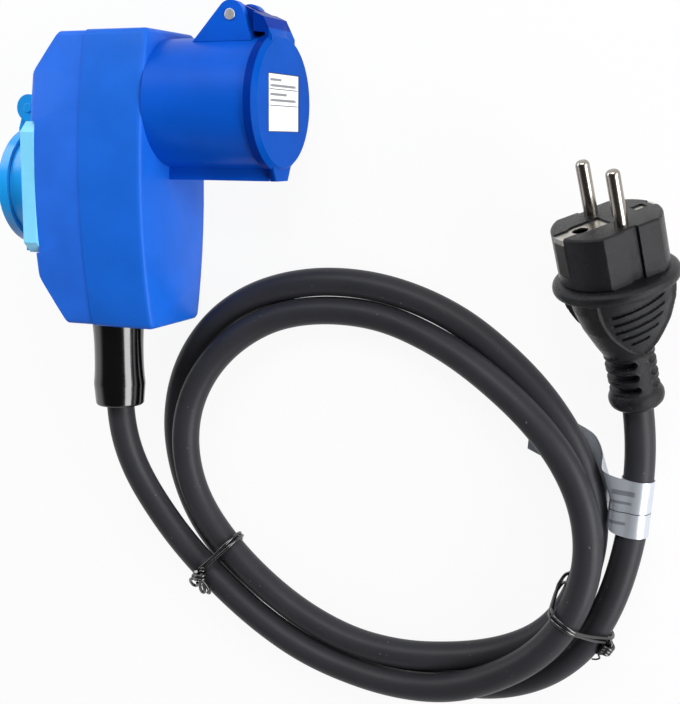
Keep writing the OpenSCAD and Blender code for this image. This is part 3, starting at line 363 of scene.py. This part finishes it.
def tie_loop(frame_of_tie, shift, wave, slack=0.0, lean=0.0, skew=0.0):
    """A closed line round the strands in a tie.

    slack is how far it stands off at its first side, lean how far that side is drawn along the strands,
    and skew how far it runs along them for each millimetre across.
    """
    reach = CABLE_R * 1000 + BAND_CLEAR + WIRE_R
    turns = np.linspace(0, 2 * math.pi, 40, endpoint=False)
    points = []
    for a, b in strands_in(frame_of_tie):
        points += [Vector((a + reach * math.cos(turn), b + reach * math.sin(turn))) for turn in turns]
    if slack:
        left = min(point.x for point in points)
        points += [Vector((left - slack, height)) for height in SLACK_HEIGHTS]
    hull = np.array([points[index] for index in convex_hull_2d(points)])
    hull = np.vstack([hull, hull[:1]])
    run = np.concatenate([[0], np.cumsum(np.linalg.norm(np.diff(hull, axis=0), axis=1))])
    even = np.linspace(0, run[-1], BAND_POINTS, endpoint=False)
    a = np.interp(even, run, hull[:, 0])
    b = np.interp(even, run, hull[:, 1])
    low_down = np.interp(b, [DRAWN_BELOW, DRAWN_TO], [1, 0])
    first_side = np.interp(a, [hull[:, 0].min() + DRAWN_EDGE, DRAWN_ACROSS], [1, 0])
    ripple = wave * np.sin(even / run[-1] * 2 * math.pi * RIPPLES + shift)
    c = shift + ripple + lean * low_down * first_side + skew * a
    return [frame_of_tie @ Vector(point) for point in zip(a, b, c)]


def coil(line, reach, turns, start):
    """A wire wound round a line."""
    line = smooth_line(line, 0.12)
    angles = start + np.linspace(0, 2 * math.pi * turns, len(line))
    along = np.gradient(line, axis=0)
    along /= np.linalg.norm(along, axis=1)[:, None]
    across = np.cross(along, (0, 0, 1.0))
    across /= np.linalg.norm(across, axis=1)[:, None]
    third = np.cross(along, across)
    wound = line + reach * (np.cos(angles)[:, None] * across + np.sin(angles)[:, None] * third)
    return [tuple(point) for point in wound]


def merged(name, pieces):
    """One object from several, under a name of its own."""
    work = bmesh.new()
    for piece in pieces:
        work.from_mesh(piece.data)
    work.to_mesh(pieces[0].data)
    for piece in pieces[1:]:
        bpy.data.objects.remove(piece)
    pieces[0].name = name
    return pieces[0]


def band(loop):
    """One closed turn of a tie's wire."""
    return tube("tie_band", loop, WIRE_R / 1000, WIRE_SIDES, "joined")


def wire(frame_of_tie, points, radii=WIRE_R):
    """A length of wire through points in a tie's own axes, as thick as the radii spread along it."""
    line = smooth_line(points, WIRE_STEP, 2)
    thickness = np.interp(np.linspace(0, 1, len(line)), [0, 0.62, 0.75, 1], np.broadcast_to(radii, 4))
    return tube("tie_end", [frame_of_tie @ Vector(point) for point in line], thickness / 1000, WIRE_SIDES)


def twisted_ends(frame_of_tie, neck, ends, reach, turns, tips):
    """Two wires wound round each other along a neck, which then part into their own loose ends."""
    made = []
    for start, end in zip((0, math.pi), ends):
        made.append(wire(frame_of_tie, coil(neck, reach, turns, start) + end, (WIRE_R, WIRE_R, *tips)))
    return made


coated = plastic("tie_wire", (16, 16, 18), 0.16, 0.03, 0.9)
left_at = tie_frame((0.0221, -0.1406), 46)
left_neck = [(-3.0, 24.9, 0.4), (-4.4, 26.4, 1.0), (-6.2, 26.4, 2.0)]
left_ends = [
    [
        (-9, 25.4, 0.6), (-11.6, 24.2, -0.4), (-13.6, 22.4, 0.6),
        (-14, 21.4, 2.2), (-12.6, 21.8, 3), (-10.6, 23.6, 2.4),
    ],
    [(-6.6, 26.0, 5.4), (-7.4, 25.4, 7.6), (-8.8, 24.4, 9), (-10, 23.4, 8.2)],
]
left_wrap = coil([(-3.6, 26.7, 0.4), (-6.4, 26.7, 2.6)], 2.2, 2.3, 0.6)
left_curl = [
    (-6, 26.2, 2.4), (-8.6, 25.4, 3.6), (-10.8, 24.2, 5.0), (-12.2, 22.8, 6.4),
    (-11.6, 22.6, 7.2), (-9.8, 23.8, 6.4), (-8.2, 24.8, 4.8),
]
left_wires = [band(tie_loop(left_at, shift, 0.2)) for shift in (-0.7, 0.7)]
left_wires += twisted_ends(left_at, left_neck, left_ends, 0.72, 1.5, (0.62, 0.6))
left_wires += [wire(left_at, left_wrap), wire(left_at, left_curl)]
left_tie = fit(merged("left_tie_wire", left_wires), "head", coated, "left_tie")

right_at = tie_frame((0.1681, -0.1451), -28)
right_neck = [(15.2, 11.5, 0.6), (15.6, 11.2, 2.6), (15.2, 10.6, 5), (14.2, 10, 7.4)]
right_ends = [
    [(13.4, 9.6, 8.4), (11.8, 9.4, 8.2), (11.4, 9.2, 9.6), (12.6, 9, 10.6), (11.2, 8.6, 11.6)],
    [(14.6, 9.4, 8.8), (15.6, 9, 9.6), (14.8, 8.8, 11), (13.4, 8.6, 12)],
]
right_wrap = coil([(15.5, 11.3, 1.8), (15.3, 10.8, 6)], 2.05, 3.2, 0.4)
right_wires = []
for shift, slack, lean in ((-0.7, 0.9, -9.5), (0.7, 0.2, -6.0)):
    right_wires.append(band(tie_loop(right_at, shift, 0.35, slack, lean, 0.07)))
right_wires += twisted_ends(right_at, right_neck, right_ends, 0.75, 2, (0.35, 0.3))
right_wires.append(wire(right_at, right_wrap))
right_tie = fit(merged("right_tie_wire", right_wires), "head", coated, "right_tie")


# Flag label
# A strip of silver film, wrapped once round the cable and stuck to itself, with its loose end folded
# down beside the coil and lying under it. It carries only a plain dividing line and plain bars.

FLAG = Vector((0.187, -0.102, 0.0064))
FLAG_ALONG = Vector((0.073, 0.997, 0)).normalized()
FLAG_W = 0.021
FILM_T = 0.0002
FILM_COLUMNS = 15
FILM_LIFT = 0.0006
FOLD_LEAN = 0.0042
FOLD_FROM = (0.1755, 0.179, 0.184)
WRAP_IN = CABLE_R + 0.00025
WRAP_OUT = CABLE_R + 0.0005
outward = Vector((FLAG_ALONG.y, -FLAG_ALONG.x, 0))
film_line = []
for degrees in (-40, -28, -16, -4, 8, 18):
    turn = math.radians(degrees)
    from_core = outward * -math.sin(turn) + Vector((0, 0, math.cos(turn)))
    film_line.append(FLAG + from_core * (CABLE_R + FILM_LIFT))
film_line += [
    (0.1812, -0.1008, 0.0123), (0.1789, -0.0994, 0.0109), (0.1781, -0.0978, 0.0072),
    (0.1776, -0.0954, 0.0034), (0.1758, -0.0918, 0.0009), (0.173, -0.0884, 0.0003),
    (0.166, -0.0848, 0.0003), (0.1585, -0.0811, 0.0003), (0.1462, -0.0756, 0.0003),
]
film_line = smooth_line(film_line, 0.0006, 3)
tangent = np.gradient(film_line, axis=0)
tangent /= np.linalg.norm(tangent, axis=1)[:, None]
normal = np.cross(np.array(FLAG_ALONG), tangent)
normal /= np.linalg.norm(normal, axis=1)[:, None]
widths = np.linspace(-0.5, 0.5, FILM_COLUMNS)[:, None] * FLAG_W * np.array(FLAG_ALONG)
leaning = np.linspace(-1, 1, FILM_COLUMNS).clip(0)[:, None] * -FOLD_LEAN * np.array(outward)
rings = []
for point, up in zip(film_line, normal):
    folded = np.interp(point[0], FOLD_FROM, [1, 1, 0])
    laid = point + widths + leaning * folded
    rings.append(np.vstack([laid + up * FILM_T / 2, laid[::-1] - up * FILM_T / 2]))
film = solid("flag_strip", *skin(rings, "capped"), sharp=40.0)
half_w = FLAG_W / 2
wrap_profile = [(-half_w, WRAP_IN), (-half_w, WRAP_OUT), (half_w, WRAP_OUT), (half_w, WRAP_IN)]
wrap = solid("flag_wrap", *skin(lathe(wrap_profile, 72, FLAG, FLAG_ALONG), "joined"), sharp=40.0)

silver, shader, place = paint("film", {"Metallic": 0.55, "Coat Weight": 0.5, "Coat Roughness": 0.1})
rung = place.along(FLAG_ALONG) - FLAG.dot(FLAG_ALONG)
across = place.along(outward) - FLAG.dot(outward)
DIVIDER_AT, DIVIDER_HALF, DIVIDER_WAVE = -0.0014, 0.00017, 0.0012
PRINT_BARS = (
    (0.0058, 0.0009, -0.004, 0.0042),
    (0.0022, 0.0005, -0.0045, 0.0038),
    (-0.0055, 0.0006, -0.005, 0.003),
)
wavy = rung + (place.noise(120.0, 1.0) - 0.5) * DIVIDER_WAVE
ink = wavy.near(DIVIDER_AT, DIVIDER_HALF)
for level, half, middle, reach in PRINT_BARS:
    ink = ink + rung.near(level, half) * across.near(middle, reach) * 0.5
ink.blend(srgb(192, 198, 207), srgb(36, 38, 44)).feed(shader, "Base Color")
(place.noise(90.0) * 0.16 + 0.22).feed(shader, "Roughness")
crease = {"Height": place.noise(160.0, 1.0), "Strength": 0.12, "Distance": 0.001}
place.node("Bump", {}, crease).feed(shader, "Normal")
flag = fit(merged("flag_film", [film, wrap]), "head", silver, "flag_label")


# Plug body
# Dark grey rubber moulded round the pins and the cable's end: a round body with two flats, a thick
# collar, a grip with two ribbed pads, a slotted strain relief and a tail ring. Sizes in millimetres.


def plug_point(x, y, h):
    """A point in the plug's own axes, in millimetres, with its height measured from the tail."""
    return tail + (plug_x * x + plug_y * y + axis * h) / 1000


def block(low, high):
    """A closed box between two corners in the plug's own axes."""
    outline = [(low[0], low[1]), (high[0], low[1]), (high[0], high[1]), (low[0], high[1])]
    return skin([[plug_point(x, y, h) for x, y in outline] for h in (low[2], high[2])], "capped")


def peg(x, y, low, high, radius):
    """A closed cylinder along the plug's axis."""
    profile = [(low / 1000, radius / 1000), (high / 1000, radius / 1000)]
    return skin(lathe(profile, 64, plug_point(x, y, 0), axis), "capped")


def settled(piece):
    """A piece's mesh with its modifiers worked in."""
    bpy.context.view_layer.update()
    piece_now = piece.evaluated_get(bpy.context.evaluated_depsgraph_get())
    mesh = bpy.data.meshes.new_from_object(piece_now)
    piece.modifiers.clear()
    return mesh


def cut(piece, shapes):
    """Takes closed shapes out of a mesh, one after another."""
    for points, faces in shapes:
        tool = solid("cutter", points, faces)
        step = piece.modifiers.new("cut", "BOOLEAN")
        step.operation = "DIFFERENCE"
        step.solver = "EXACT"
        step.object = tool
        piece.data = settled(piece)
        bpy.data.objects.remove(tool)
    piece.data.shade_smooth()
    piece.data.set_sharp_from_angle(angle=math.radians(PLUG_SHARP))


def smoothstep(low, high, value):
    share = np.clip((value - low) / (high - low), 0, 1)
    return share * share * (3 - 2 * share)


pins = [Vector(mounts[name]["pos_m"]) for name in ("plug_pin_left", "plug_pin_right")]
plug_x = (pins[1] - pins[0]).normalized()
plug_y = axis.cross(plug_x)
PLUG_SHARP = 32.0
RELIEF_AT = 7.0
RELIEF_L = 14.5
RELIEF_R = 8.7
RELIEF_END = RELIEF_AT + RELIEF_L
COLLAR_AT = 47.0
BODY_AT = 52.0
FACE_AT = 70.5
BODY_R = 18.7
FLAT_AT = 15.5
GUIDE_AT = 14.2
GUIDE_HALF = math.radians(9.6)
STRIP_AT = 17.6
STRIP_HALF = math.radians(9.8)
STRIP_L = 14.1
STRIP_FROM = FACE_AT - STRIP_L
PIN_AT = 9.5
EARTH_AT = 10
tail_profile = [
    (0, 6.6), (0.15, 7.2), (0.7, 8.3), (1.8, 9.4), (3.2, 9.85), (4.6, 9.85), (5.8, 9.4), (6.6, 8.9),
]
grip_profile = [(7, 8.6), (21.5, 8.7), (26.1, 11), (33.5, 14.2), (40.9, 16.2), (46.9, 16.8)]
collar_profile = [
    (47, 17.2), (47.2, 20.3), (47.8, 21.3), (48.8, 21.7), (49.6, 21.7), (50.6, 21.4), (51.3, 20.7),
    (51.7, 20), (51.8, 19.4), (51.95, 18.4), (52.1, 18.3), (52.4, BODY_R), (FACE_AT, BODY_R),
]
levels, radii = zip(*tail_profile, *grip_profile, *collar_profile)
heights = np.concatenate([
    np.linspace(0, RELIEF_AT, 26),
    np.linspace(RELIEF_AT + 0.2, RELIEF_END - 0.2, 62),
    np.linspace(RELIEF_END, COLLAR_AT - 0.1, 120),
    np.linspace(COLLAR_AT, BODY_AT + 0.4, 32),
    [54, STRIP_FROM - 0.05, STRIP_FROM + 0.05, 60, 64, 68],
    FACE_AT - 1 + np.sin(np.linspace(0, 1.5, 7)),
])
EDGE_TURN = 0.002
edges = []
for middle, halves in ((0, (GUIDE_HALF, math.acos(FLAT_AT / BODY_R))), (math.pi / 2, (STRIP_HALF,))):
    for half in halves:
        for side in (-1, 1):
            edges += [middle + side * half - EDGE_TURN, middle + side * half + EDGE_TURN]
edges = np.mod(np.array(edges + [edge + math.pi for edge in edges]), 2 * math.pi)
turns = np.unique(np.concatenate([np.linspace(0, 2 * math.pi, 320, endpoint=False), edges]))

# Each point's height, turn and radius, and its turn from the middle of a flat and of an earth strip
h, t = np.meshgrid(heights, turns, indexing="ij")
r = np.interp(h, levels, radii)
side = np.mod(t + math.pi / 2, math.pi) - math.pi / 2
end = np.mod(t, math.pi) - math.pi / 2

# Two flats with a guide groove, and a slot for the earth strip at each end
body = np.minimum(r, FLAT_AT / np.abs(np.cos(t)).clip(0.01))
body = np.where(np.abs(side) < GUIDE_HALF, GUIDE_AT / np.cos(side), body)
in_slot = (np.abs(end) < STRIP_HALF) & (h > STRIP_FROM)
body = np.where(in_slot, STRIP_AT / np.cos(end), body)
rounding = 1 - np.sqrt(1 - (h - FACE_AT + 1).clip(0, 1) ** 2)
r = np.where(h > BODY_AT + 0.2, body - rounding, r)

# Pads that stand flatter than the grip, with a rim and five grooves
PAD_FROM = 22.2
PAD_MIDDLE = 47.5
PAD_REACH = 24.5
PAD_HALF = math.radians(54)
PAD_H = 0.4
RIM_H, RIM_AT, RIM_W = 0.65, 0.6, 0.4
GROOVES = ((43.4, 9.4), (40, 9), (36.6, 8.2), (33.2, 6.2), (29.8, 2.8))
GROOVE_DEPTH = 0.9
GROOVE_SHIFT = 1.8
GROOVE_SLOPE = 0.15
arc = side * np.maximum(r, 8)
on_grip = (h > PAD_FROM) & (h < COLLAR_AT)
pad_half = PAD_HALF * np.sqrt(np.clip(1 - (np.abs(PAD_MIDDLE - h) / PAD_REACH) ** 2.6, 0, 1))
inside = (pad_half - np.abs(side)) * np.maximum(r, 8)
raised_rim = RIM_H * np.exp(-(((inside - RIM_AT) / RIM_W) ** 2))
pad = PAD_H + r * (1 / np.cos(side * 0.5) - 1) + raised_rim
r = r + np.where(on_grip, pad * smoothstep(0, 0.5, inside), 0)
for level, half in GROOVES:
    beside = arc + GROOVE_SHIFT
    off = np.hypot(np.maximum(np.abs(beside) - half, 0), h - GROOVE_SLOPE * beside - level)
    r = r - np.where(on_grip, GROOVE_DEPTH * (1 - smoothstep(0.3, 0.75, off)), 0)

# Three slots at each side of the strain relief, each with a raised lip
SLOTS = 3
SLOT_R = 1.25
SLOT_DEPTH = 2.2
SLOT_BRIDGE = 2.5
LIP_H, LIP_AT, LIP_W = 0.25, 1.65, 0.7
slot_half = math.pi / 2 * RELIEF_R - SLOT_BRIDGE - SLOT_R
for number in range(SLOTS):
    level = RELIEF_AT + (number + 0.5) * RELIEF_L / SLOTS
    off = np.hypot(np.maximum(np.abs(end) * RELIEF_R - slot_half, 0), h - level)
    lip = LIP_H * (1 - smoothstep(0, LIP_W, np.abs(off - LIP_AT)))
    r = r + lip - SLOT_DEPTH * (1 - smoothstep(0.95, 1.4, off))

rings = []
for level, reach in zip(heights, r):
    outline = zip(reach * np.cos(turns), reach * np.sin(turns))
    rings.append([plug_point(x, y, level) for x, y in outline])
plug = solid("plug_moulding_body", *skin(rings, "capped"), sharp=PLUG_SHARP)

# Holes for the pins, the cable, the earth hole and the places where the strip shows in the face
ABOVE = FACE_AT + 2
STRIP_SEAT = FACE_AT - 1.5
shapes = [peg(side * PIN_AT, 0, 61, ABOVE, 2.05) for side in (-1, 1)]
shapes.append(peg(0, 0, -1, 5, CABLE_R * 1000 + 0.1))
shapes.append(block((-4.4, 0.7, STRIP_SEAT), (4.4, EARTH_AT, ABOVE)))
shapes.append(peg(0, EARTH_AT, FACE_AT - 15, ABOVE, 4.4))
shapes.append(block((-3.1, EARTH_AT, STRIP_SEAT), (3.1, 19, ABOVE)))
shapes.append(block((-2, -15, STRIP_SEAT), (2, -10.5, ABOVE)))
cut(plug, shapes)
# The plug's pale specks are painted glints on its grain.
rubber = plastic("plug_moulding", (19, 19, 22), 0.26, 1.0, 0.2, specks=0.2)
plug = fit(plug, "head", rubber, "plug_body")


# Plug pins and earth strip
# Two turned brass pins and a bent earth strip, all nickel plated. The pins stand in the moulding on a
# shoulder, and the strip shows at the two sides, round the earth hole and in a small window.

nodes = frame["nodes"]
STAIN_SCALE = 140.0
STAIN_SHADE = 0.8
SHADE_EDGE = 0.0003
POLISH_SCALE = 900.0
POLISH_SPREAD = 0.14
MARK_SCALE = 2600.0
MARK_DEPTH = 0.0001


def metal(name, colour, roughness, brushed, slot=None, shaded=None):
    """A plated or bare metal with faint marks from turning or drawing.

    shaded gives a direction, a distance along it and the colour of painted shade on what lies short of
    that distance.
    """
    made, shader, place = paint(name, {"Metallic": 1.0}, slot)
    stain = place.noise(STAIN_SCALE, 3.0).rise(0.3, 0.75)
    colours = stain.blend(srgb(*colour), srgb(*colour, STAIN_SHADE))
    # Painted shade: short of that distance the colour turns darker.
    if shaded:
        direction, start, shade = shaded
        unshaded = place.along(direction).rise(start - SHADE_EDGE, start + SHADE_EDGE)
        colours = unshaded.blend(srgb(*shade), colours)
    colours.feed(shader, "Base Color")
    smoothest = roughness - POLISH_SPREAD / 2
    (place.noise(POLISH_SCALE, 3.0) * POLISH_SPREAD + smoothest).feed(shader, "Roughness")
    marks = {"Height": place.noise(MARK_SCALE), "Strength": brushed, "Distance": MARK_DEPTH}
    place.node("Bump", {}, marks).feed(shader, "Normal")
    return made


def rounded(node, name, edge, sharp=35.0):
    """A copy of a CAD node with its sharp edges rounded, as its tool leaves them."""
    work = bmesh.new()
    work.from_mesh(nodes[node].data)
    bmesh.ops.remove_doubles(work, verts=work.verts, dist=2e-6)
    bmesh.ops.dissolve_limit(work, angle_limit=math.radians(0.5), verts=work.verts, edges=work.edges)
    work.verts.index_update()
    faces = [[vert.index for vert in face.verts] for face in work.faces]
    piece = solid(name, [vert.co for vert in work.verts], faces, sharp)
    if edge:
        bevel = piece.modifiers.new("edge", "BEVEL")
        bevel.width = edge
        bevel.segments = 3
        bevel.limit_method = "ANGLE"
        bevel.angle_limit = math.radians(35)
        bevel.miter_outer = "MITER_ARC"
        bevel.harden_normals = True
        piece.data = settled(piece)
    return piece


nickel = metal("nickel", (164, 158, 150), 0.2, 0.06)
PIN_L = 19.0
PIN_R = 2.4
PIN_SIDES = 48
PIN_ROOT = -9.2
ROOT_R = 2.0
SHOULDER_AT = -0.02
TIP_L = 1.8
TIP_ROUND = 1.6
CENTRE_R = 0.001
pin_profile = [(PIN_ROOT, CENTRE_R), (PIN_ROOT, ROOT_R), (SHOULDER_AT, ROOT_R), (SHOULDER_AT, PIN_R)]
for a in np.linspace(0, math.pi / 2, 10):
    flat_r = PIN_R - TIP_ROUND + CENTRE_R
    pin_profile.append((PIN_L - TIP_L + TIP_L * math.sin(a), flat_r + TIP_ROUND * math.cos(a)))
pin_profile.append((PIN_L, CENTRE_R))
pin_profile = np.array(pin_profile) / 1000
pin_pair = []
for side in (-1, 1):
    pin_rings = lathe(pin_profile, PIN_SIDES, plug_point(side * PIN_AT, 0, FACE_AT), axis)
    pin_pair.append(solid("pin", *skin(pin_rings, "capped")))
plug_pins = fit(merged("plug_pin_pair", pin_pair), "head", nickel, "plug_pins")
plate_at = plug_point(0, 0, FACE_AT - 2.5).dot(axis)
# The strip's legs are painted darker as the shade of the slots they lie in.
legs_in_painted_shade = (axis, plate_at, (72, 70, 68))
strip_metal = metal("earth_strip", (200, 196, 188), 0.3, 0.06, "nickel", legs_in_painted_shade)
strip = rounded("plug_earth_bracket", "plug_earth_strip", 0.00015)
bracket = fit(strip, "head", strip_metal, "plug_earth_bracket")


# Head
# Two satin blue shells moulded in plastic. The front half carries the round socket and the rear half,
# in a slightly lighter blue, the mains socket; four screws from the back pull them together.

FRONT_FACE = 0.0098
SCREW_EDGE = 0.00015
SHELL_EDGE = 0.0006
steel = metal("steel", (206, 207, 209), 0.45, 0.12)
front_blue = plastic("front_moulding", (24, 96, 202), 0.36, 0.06, 0.12, beyond=(FRONT_FACE, (4, 82, 194)))
rear_blue = plastic("rear_moulding", (38, 102, 213), 0.36, 0.06, 0.08)
fit(rounded("front_shell", "front_moulding_shell", SHELL_EDGE), "head", front_blue, "front_shell")
fit(rounded("rear_shell", "rear_moulding_shell", SHELL_EDGE), "head", rear_blue, "rear_shell")
fit(rounded("shell_screws", "shell_screw_set", SCREW_EDGE), "head", steel, "shell_screws")


# Round socket
# A blue sleeve with a key rib below and the hinge's hump on top, around a nose that holds three brass
# contacts. The nose is screwed to the front half from inside.

CONTACT_EDGE = 0.0002
brass = metal("brass", (206, 168, 92), 0.28, 0.08)
fit(rounded("round_sleeve", "round_socket_sleeve", SHELL_EDGE), "head", front_blue, "round_sleeve")
fit(rounded("round_carrier", "round_socket_nose", 0.0004), "head", front_blue, "round_carrier")
fit(rounded("carrier_screws", "carrier_screw_set", SCREW_EDGE), "head", steel, "carrier_screws")
for name in ("round_contact_line", "round_contact_neutral", "round_contact_earth"):
    fit(rounded(name, name + "_turned", CONTACT_EDGE), "head", brass, name)


# Round lid
# A blue spring lid on a steel pin through the hump, painted a deeper blue at its edge and arm as shade,
# with a soft seal inside that is painted near black as the shade of the gap round it. A white label with
# plain grey bars and lines sits in a recess, in a thin dark border painted as the shade of the recess.

LID_FACE = 0.0545
PIN_EDGE = 0.0005
SEAL_EDGE = 0.0003
SPRING_SHARP = 60.0
lid_face = (LID_FACE, (4, 74, 170))
# The lid's edge and arm are painted a deeper blue as shade; its face keeps the lighter blue.
lid_blue_painted_shade = plastic("round_lid", (2, 44, 138), 0.3, 0.04, 0.02, beyond=lid_face, slot="front_moulding")
# Past X = 0 the round seal is painted near black as the shade of the gap between sleeve and lid; the
# mains seal keeps its soft blue.
seal_blue_and_gap_shade = plastic("seal", (38, 124, 196), 0.6, 0.1, 0.2, beyond=(0.0, (6, 14, 38)))
fit(rounded("round_lid", "round_socket_lid", 0.0005), "round_cover", lid_blue_painted_shade, "round_lid")
fit(rounded("round_lid_seal", "round_seal_ring", SEAL_EDGE), "round_cover", seal_blue_and_gap_shade, "round_lid_seal")
fit(rounded("round_lid_pin", "round_hinge_pin", PIN_EDGE), "head", steel, "round_lid_pin")
fit(rounded("round_lid_spring", "round_hinge_spring", 0, SPRING_SHARP), "head", steel, "round_lid_spring")
white, shader, place = paint("label", {"Roughness": 0.4})
low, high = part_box("lid_label")
up = (place.along((0, 1, 0)) - low.y) * (1 / (high.y - low.y))
right = (high.z - place.along((0, 0, 1))) * (1 / (high.z - low.z))


def bar(start, end, level, half):
    """1 inside a plain bar across the label, in shares of its width and height."""
    return right.near((start + end) / 2, (end - start) / 2) * up.near(level, half)


LINE_HALF = 0.008
BAR_HALF = 0.022
RECESS_SHADE_W, RECESS_SHADE_H = 0.016, 0.012
dividers = bar(0.03, 0.97, 0.73, LINE_HALF) + bar(0.03, 0.97, 0.45, LINE_HALF)
rows = bar(0.06, 0.42, 0.89, BAR_HALF) + bar(0.06, 0.9, 0.79, BAR_HALF)
rows = rows + bar(0.06, 0.6, 0.64, BAR_HALF) + bar(0.06, 0.9, 0.54, BAR_HALF)
# A thin dark edge round the label is painted shade from the rim of its recess; the lines and bars are
# print.
recess_shade_edge = right.near(0, RECESS_SHADE_W) + right.near(1, RECESS_SHADE_W) + up.near(0, RECESS_SHADE_H) + up.near(1, RECESS_SHADE_H)
print_and_recess_shade = (dividers + recess_shade_edge).blend(srgb(240, 240, 240), srgb(52, 56, 66))
rows.blend(print_and_recess_shade, srgb(120, 122, 126)).feed(shader, "Base Color")
fit(rounded("lid_label", "round_lid_label", 0), "round_cover", white, "lid_label")


# Mains socket
# A blue panel socket: a square flange, paler than the rest, a round collar with a deep well, and a sprung
# lid on a pin. It is moulded in glossy plastic and held in the rear half by four screws.

FLANGE_FACE = -0.0452
flange_face = (FLANGE_FACE, (126, 212, 248))
pale_blue = plastic("pale_moulding", (22, 152, 232), 0.2, 0.04, 0.5, beyond=flange_face)
fit(rounded("mains_frame", "mains_socket_frame", 0.0005), "head", pale_blue, "mains_frame")
fit(rounded("mains_insert", "mains_socket_insert", 0.0003), "head", pale_blue, "mains_insert")
fit(rounded("mains_lid", "mains_socket_lid", 0.0004), "mains_cover", pale_blue, "mains_lid")
fit(rounded("mains_lid_seal", "mains_seal_ring", SEAL_EDGE), "mains_cover", seal_blue_and_gap_shade, "mains_lid_seal")
fit(rounded("mains_lid_pin", "mains_hinge_pin", PIN_EDGE), "head", pale_blue, "mains_lid_pin")
fit(rounded("mains_lid_spring", "mains_hinge_spring", 0, SPRING_SHARP), "head", steel, "mains_lid_spring")
fit(rounded("mains_screws", "mains_screw_set", SCREW_EDGE), "head", steel, "mains_screws")
for name in ("mains_contact_line", "mains_contact_neutral", "mains_earth_clip"):
    fit(rounded(name, name + "_formed", CONTACT_EDGE), "head", nickel, name)


# Wires and clamp
# Inside the head the cable's three cores run to the contacts of both sockets. A black bar and two
# screws clamp the sheath in the front half.

WIRE_SHARP = 60.0
wire_colours = {
    "line": ("brown", (96, 56, 32)),
    "neutral": ("blue", (46, 96, 190)),
    "earth": ("green", (120, 170, 60)),
}
for pole, (hue, colour) in wire_colours.items():
    insulation = plastic("wire_" + hue, colour, 0.4, 0.05, 0.5)
    fit(rounded("wire_" + pole, f"wire_{pole}_core", 0, WIRE_SHARP), "head", insulation, "wire_" + pole)
clamp_black = plastic("clamp", (48, 48, 50), 0.45, 0.1, 0.5)
fit(rounded("cord_clamp", "cord_clamp_bar", 0.0003), "head", clamp_black, "cord_clamp")
fit(rounded("clamp_screws", "clamp_screw_set", SCREW_EDGE), "head", steel, "clamp_screws")


# Studio
# A white table that shows as white ground and keeps the shadows. A tall soft box at the right gives most
# of the light, one behind lifts the upper edges, and a small one at the left reaches the mains socket.


def soft_box(name, place, target, size, watts):
    light = bpy.data.lights.new(name, "AREA")
    light.shape = "RECTANGLE"
    light.size, light.size_y = size
    light.energy = watts
    made = bpy.data.objects.new(name, light)
    made.location = place
    made.rotation_euler = (Vector(target) - Vector(place)).to_track_quat("-Z", "Y").to_euler()
    bpy.context.scene.collection.objects.link(made)


def seen_directly(socket):
    """1 for rays from the camera, a gloss or a clear piece, and 0 for those that carry light."""
    kinds = ("Is Camera Ray", "Is Glossy Ray", "Is Transmission Ray")
    rays = [socket.node("LightPath", {}, {}, kind) for kind in kinds]
    return socket.maths("MINIMUM", rays[0] + rays[1] + rays[2], 1.0)


soft_box("left_box", (-0.4, 0.2, 0.2), (-0.04, 0.02, 0.03), (0.5, 0.3), 1.4)
soft_box("right_box", (0.95, -0.15, 0.36), (0.14, -0.08, 0.03), (1.2, 0.5), 13.0)
soft_box("top_box", (0.1, 0.75, 0.8), (0.08, -0.05, 0.0), (1.0, 0.4), 8.0)
FLOOR = 6.0
FLOOR_AT = -0.0004
GROUND_GLOW = 0.92
corners = [(-1, -1), (1, -1), (1, 1), (-1, 1)]
floor = solid("floor", [(x * FLOOR, y * FLOOR, FLOOR_AT) for x, y in corners], [(0, 1, 2, 3)])
table_look = {"Base Color": (0.78, 0.78, 0.78, 1), "Roughness": 0.9, "Specular IOR Level": 0.1}
table, shader, place = paint("table", table_look)
glow = place.node("Emission", {}, {"Color": (1, 1, 1, 1), "Strength": 1.0})
lit = Socket(shader.outputs[0])
shown = place.node("MixShader", {}, {0: seen_directly(place) * GROUND_GLOW, 1: lit, 2: glow})
shown.feed(table.node_tree.nodes["Material Output"], "Surface")
floor.data.materials.append(table)

AMBIENT = 0.15
CEILING = 0.06
world = bpy.data.worlds.new("studio")
bpy.context.scene.world = world
world.use_nodes = True
sky = world.node_tree.nodes["Background"]
sky.inputs["Color"].default_value = (1, 1, 1, 1)
heading = Socket(world.node_tree.nodes.new("ShaderNodeTexCoord").outputs["Generated"])
backdrop = 1 - heading.along((0, 0, 1)).rise(0.3, 0.7) * (1 - CEILING)
(seen_directly(heading) * (backdrop - AMBIENT) + AMBIENT).feed(sky, "Strength")
bpy.context.scene.view_settings.view_transform = "Standard"


# Camera
# The photograph's viewpoint: steeply down on the table from about half a metre, on the side that the
# round socket faces. The focal length and half the picture's width are in pixels.

CAMERA_AT = (0.2464, 0.0269, 0.4449)
FOCAL_LENGTH = 1226.66
HALF_WIDTH = 340
yaw, pitch, roll = math.radians(21.7603), math.radians(9.6583), math.radians(0.4531)
back = Vector((math.sin(yaw) * math.cos(pitch), math.sin(pitch), math.cos(yaw) * math.cos(pitch)))
level = Vector((0, 1, 0)).cross(back).normalized()
upright = back.cross(level)
columns = (
    level * math.cos(roll) + upright * math.sin(roll),
    upright * math.cos(roll) - level * math.sin(roll),
    back,
)
lens = bpy.data.cameras.new("camera")
lens.sensor_fit = "HORIZONTAL"
lens.angle = 2 * math.atan(HALF_WIDTH / FOCAL_LENGTH)
lens.clip_start = 0.01
camera = bpy.data.objects.new("camera", lens)
camera.matrix_world = Matrix.Translation(CAMERA_AT) @ Matrix(columns).transposed().to_4x4()
bpy.context.scene.collection.objects.link(camera)
bpy.context.scene.camera = camera
